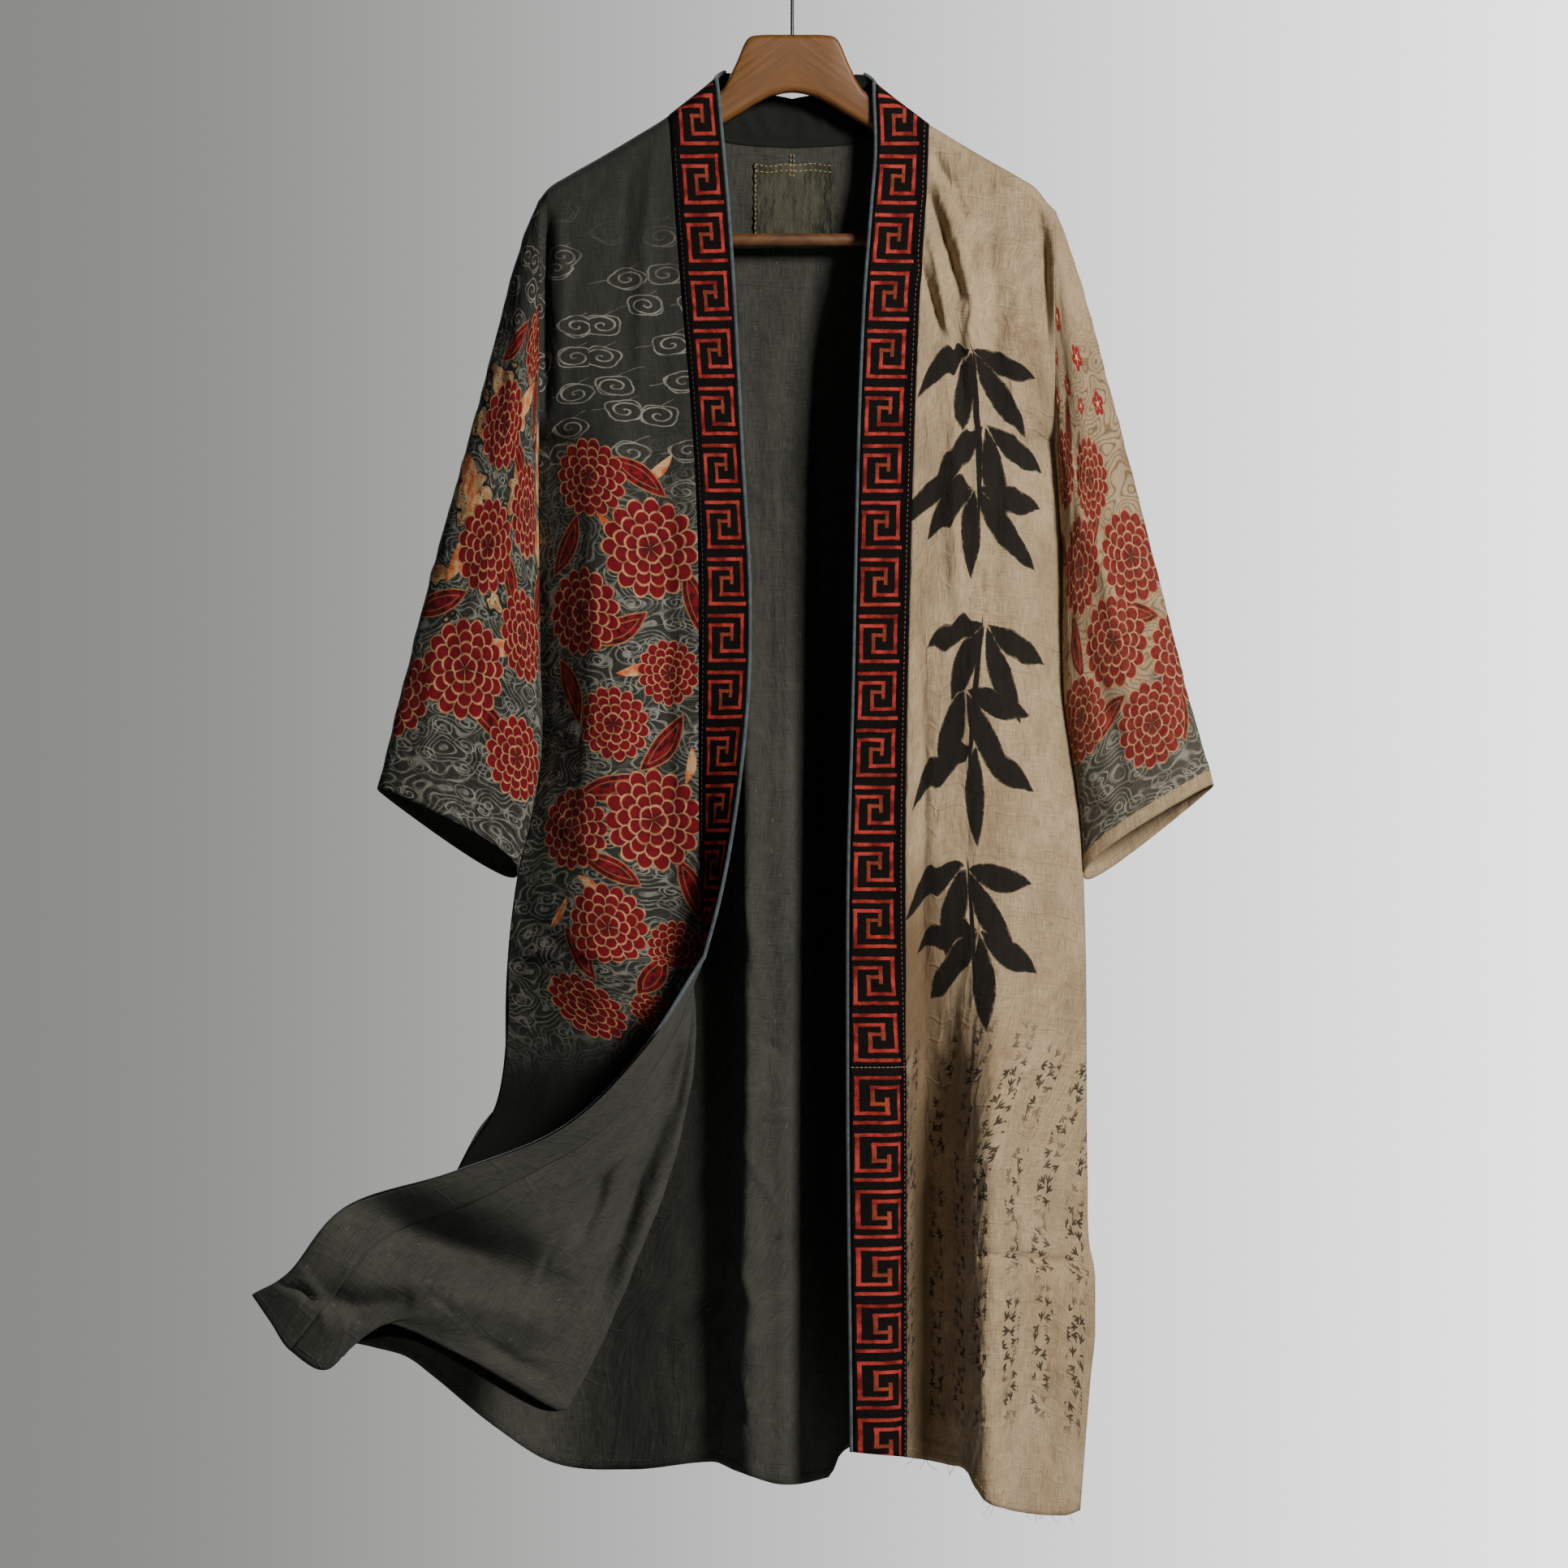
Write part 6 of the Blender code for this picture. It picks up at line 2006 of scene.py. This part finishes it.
def set_studio():
    """A pale wall that gives little light and is painted lighter towards the right, as if lit
    from there, a pale floor and soft light from the front right.
    """
    world = bpy.data.worlds.new("pale studio")
    bpy.context.scene.world = world
    world.use_nodes = True
    tree = world.node_tree
    direction = tree.nodes.new("ShaderNodeSeparateXYZ")
    tree.links.new(tree.nodes.new("ShaderNodeTexCoord").outputs["Generated"], direction.inputs[0])
    across = tree.nodes.new("ShaderNodeMapRange")
    across.inputs["From Min"].default_value = -WALL_SPAN
    across.inputs["From Max"].default_value = WALL_SPAN
    tree.links.new(direction.outputs[0], across.inputs["Value"])
    share = tree.nodes.new("ShaderNodeMath")
    share.operation = "POWER"
    tree.links.new(across.outputs[0], share.inputs[0])
    share.inputs[1].default_value = WALL_POWER
    # Painted light: the wall that the camera sees is darker at the left and lighter at the right.
    wall = mixed_colour(tree, share.outputs[0], WALL_SHADED_LEFT, WALL_LIT_RIGHT)
    seen = tree.nodes.new("ShaderNodeLightPath").outputs["Is Camera Ray"]
    colour = mixed_colour(tree, seen, SURROUND, WALL_LIT_RIGHT)
    tree.links.new(wall, colour.node.inputs[7])
    tree.links.new(colour, tree.nodes["Background"].inputs["Color"])
    for light in LIGHTS:
        set_light(*light)
    shape = bmesh.new()
    bmesh.ops.create_grid(shape, x_segments=1, y_segments=1, size=FLOOR_HALF)
    bmesh.ops.translate(shape, vec=(0, FLOOR_BACK - FLOOR_HALF, FLOOR_HEIGHT), verts=shape.verts)
    meshed("floor", shape, [pale_floor()])


def pale_floor():
    finish = Finish("pale floor", 0.8)
    x, y, _ = finish.places()
    finish.paint(finish.blend(finish.noise(x, y, 0.8, 3), FLOOR_DARK, FLOOR_PALE))
    return finish.material


def sewn_rows(grid, lengths, height, sides):
    """Rows of stitches at a height above a hem, one on each of the cloth's faces in sides."""
    return [(*hem_row(grid, lengths, height, side), CLOTH / 2 + STITCH_LIFT) for side in sides]


def seam_row(band, rows=slice(None)):
    """One row of stitches on a neckband's front, beside its seam."""
    normals = normals_of(band) * facing(band, FORWARD)
    return band[rows, 1], normals[rows, 1], BAND_CLOTH / 2 + STITCH_LIFT


def facing(grid, outward):
    """1 or -1: the side of the grid whose normals look outward."""
    row, column = grid.shape[0] // 2, grid.shape[1] // 4
    return 1 if np.dot(normals_of(grid)[row, column], outward) > 0 else -1


def dress_dark_front(finishes, band_finishes, cord_finish, thread):
    panel, band = dark_front()
    lengths = panel_lengths(panel)
    robe = cloth("robe_front_dark", panel, lengths, CLOTH, finishes, "front_dark")
    out = facing(panel, FORWARD)
    rows = sewn_rows(panel, lengths, HEM_HEIGHT, (-out, out))
    hem = stitches("hem_stitches_front_dark", rows, thread)

    lengths = band_lengths(band)
    sheet = cloth("band_dark", band, lengths, BAND_CLOTH, band_finishes, "neckband_dark")
    rows = [seam_row(band, slice(BAND_STITCHES_FROM, UPPER_ROWS))]
    seam = stitches("band_stitches_dark", rows, thread)
    collar_edge = neck_band()[0][-1][NECK_PIPED:0:-1]
    piping("piping_dark_cord", band, collar_edge, cord_finish, "piping_dark")


def dress_tan_front(finishes, band_finishes, cord_finish, thread, pale_thread, join_thread):
    panel, band = tan_front()
    lengths = panel_lengths(panel)
    robe = cloth("robe_front_tan", panel, lengths, CLOTH, finishes, "front_tan")
    rows = sewn_rows(panel, lengths, HEM_HEIGHT, (facing(panel, FORWARD),))
    hem = stitches("hem_stitches_front_tan", rows, thread)
    chance = np.random.RandomState(THREAD_COLUMN_SEED)
    inner_columns = panel.shape[1] - 2 * THREAD_MARGIN
    columns = chance.choice(inner_columns, LOOSE_THREADS, replace=False) + THREAD_MARGIN
    frays = loose_threads("loose_threads", panel[-1, columns], thread, THREAD_SEED)

    lengths = band_lengths(band)
    join = join_row(band)
    for name, rows, node, flat in (
        ("band_tan", slice(0, join + 1), "neckband_tan", (0.055, 0.90)),
        ("band_tan_lower", slice(join, None), "neckband_tan_lower", (0.055, 0.36)),
    ):
        part = [length[rows] for length in lengths]
        sheet = cloth(name, band[rows], part, BAND_CLOTH, band_finishes[name], node)
        seam = stitches(name + "_stitches", [seam_row(band, rows)], pale_thread)
    normals = normals_of(band) * facing(band, FORWARD)
    rows = [(band[join], normals[join], BAND_CLOTH / 2 + STITCH_LIFT)]
    stitches("band_join_stitches", rows, join_thread, JOIN_STITCH)
    collar_edge = neck_band()[0][-1][-1 - NECK_PIPED : -1]
    piping("piping_tan_cord", band, collar_edge, cord_finish, "piping_tan")


def patch_rows(patch):
    """Rows of stitches on the patch: two across, one down and two short tacks up past its top."""
    normals = normals_of(patch) * facing(patch, FORWARD)
    lift = PATCH_CLOTH / 2 + STITCH_LIFT
    rows = [(patch[row], normals[row], lift) for row in PATCH_STITCH_ROWS]
    rows.append((patch[1:, 1], normals[1:, 1], lift))
    for column in PATCH_TACK_COLUMNS:
        above = patch[:1, column] + np.array([0, PATCH_CLOTH / 2, TACK_ABOVE])
        route = np.concatenate([above, patch[PATCH_TACK, column]])
        ups = np.concatenate([normals[:1, column], normals[PATCH_TACK, column]])
        rows.append((route, ups, lift))
    return rows


def dress_back(charcoal, band_finishes, patch_finish, thread, dark_thread):
    """The back, the neckband behind the neck and the inside patch."""
    grid, lengths = back_panel()
    both = (charcoal, charcoal)
    robe = cloth("robe_back", grid, lengths, CLOTH, both, "back", BACKWARD)
    out = facing(grid, BACKWARD)
    rows = sewn_rows(grid, lengths, HEM_HEIGHT, (-out, out))
    hem = stitches("hem_stitches_back", rows, dark_thread)

    collar, lengths = neck_band()
    sheet = cloth(
        "band_back", collar, lengths, BAND_CLOTH, band_finishes, "neckband_back", BACKWARD,
    )

    patch, lengths = inside_patch(grid)
    both = (patch_finish, patch_finish)
    sheet = cloth("patch", patch, lengths, PATCH_CLOTH, both, "back_patch")
    seam = stitches("patch_stitches", patch_rows(patch), thread, PATCH_STITCH)


def dress_sleeves(dark_finishes, tan_finishes, dark_thread, tan_thread):
    for name, table, side_line, side, creases, finishes, thread, slot_name, flat in (
        ("sleeve_dark", SLEEVE_DARK, LEFT_SIDE, -1, SLEEVE_DARK_CREASES, dark_finishes, dark_thread,
         "charcoal_linen", (0.36, 0.56)),
        ("sleeve_tan", SLEEVE_TAN, RIGHT_SIDE, 1, SLEEVE_TAN_CREASES, tan_finishes, tan_thread,
         "tan_linen", (0.35, 0.55)),
    ):
        grid, lengths = sleeve(table, side_line, side, creases)
        sheet = cloth("robe_" + name, grid, lengths, CLOTH, finishes, name)
        rows = sewn_rows(grid, lengths, CUFF_HEM, (facing(grid, FORWARD),))
        seam = stitches("cuff_stitches_" + name, rows, thread)


def dress_robe():
    """Every piece of the robe, its hanger, and what was sewn on."""
    charcoal = charcoal_linen()
    tan = tan_linen()
    dark_print = charcoal_print(
        "charcoal print", DARK_FLOWERS, DARK_SPRAYS, DARK_FLAMES, (0.24, 0.36), (0.44, 0.60),
        # From 0.97 to 1.06 m down the print fades into painted shade.
        painted_shade_span=(0.97, 1.06),
    )
    sleeve_print = charcoal_print(
        "charcoal sleeve print", SLEEVE_FLOWERS, SLEEVE_SPRAYS, SLEEVE_FLAMES, (-0.3, -0.2), (0.48, 0.36),
        clouds=(0.30, 0.13),
    )
    ink = inked_tan_linen("inked tan linen", brush_leaves(), BRUSH_STEMS)
    tan_sleeve = tan_print("tan sleeve print", TAN_SLEEVE_FLOWERS, TAN_SLEEVE_SPRAYS, TAN_SLEEVE_BLOOMS)
    cord_finish = piping_cloth()
    thread = stitch_thread("tan thread", THREAD)
    pale_thread = stitch_thread("pale thread", PINK_THREAD)
    dark_thread = stitch_thread("dark thread", DARK_THREAD)
    join_thread = stitch_thread("join thread", JOIN_THREAD)
    band_dark = key_band("key band dark side", from_left=False)
    band_tan = key_band("key band tan side")
    band_lower = key_band("key band tan side, lower part", downwards=False)
    band_back = key_band("key band back")

    dress_dark_front((dark_print, charcoal), (band_dark, charcoal), cord_finish, dark_thread)
    tan_bands = {"band_tan": (band_tan, tan), "band_tan_lower": (band_lower, tan)}
    dress_tan_front((ink, tan), tan_bands, cord_finish, thread, pale_thread, join_thread)
    lining = charcoal_linen("band lining", shade=LINING_SHADE)
    dress_back(charcoal, (band_back, lining), patch_linen(), thread, dark_thread)
    dress_sleeves((sleeve_print, charcoal), (tan_sleeve, tan), dark_thread, thread)
    yoke(hanger_wood("hanger wood", WOOD, WOOD_DARK))
    trouser_bar(hanger_wood("bar wood", BAR_WOOD, BAR_WOOD_DARK))
    hook(hook_wire())


set_camera()
set_studio()
dress_robe()
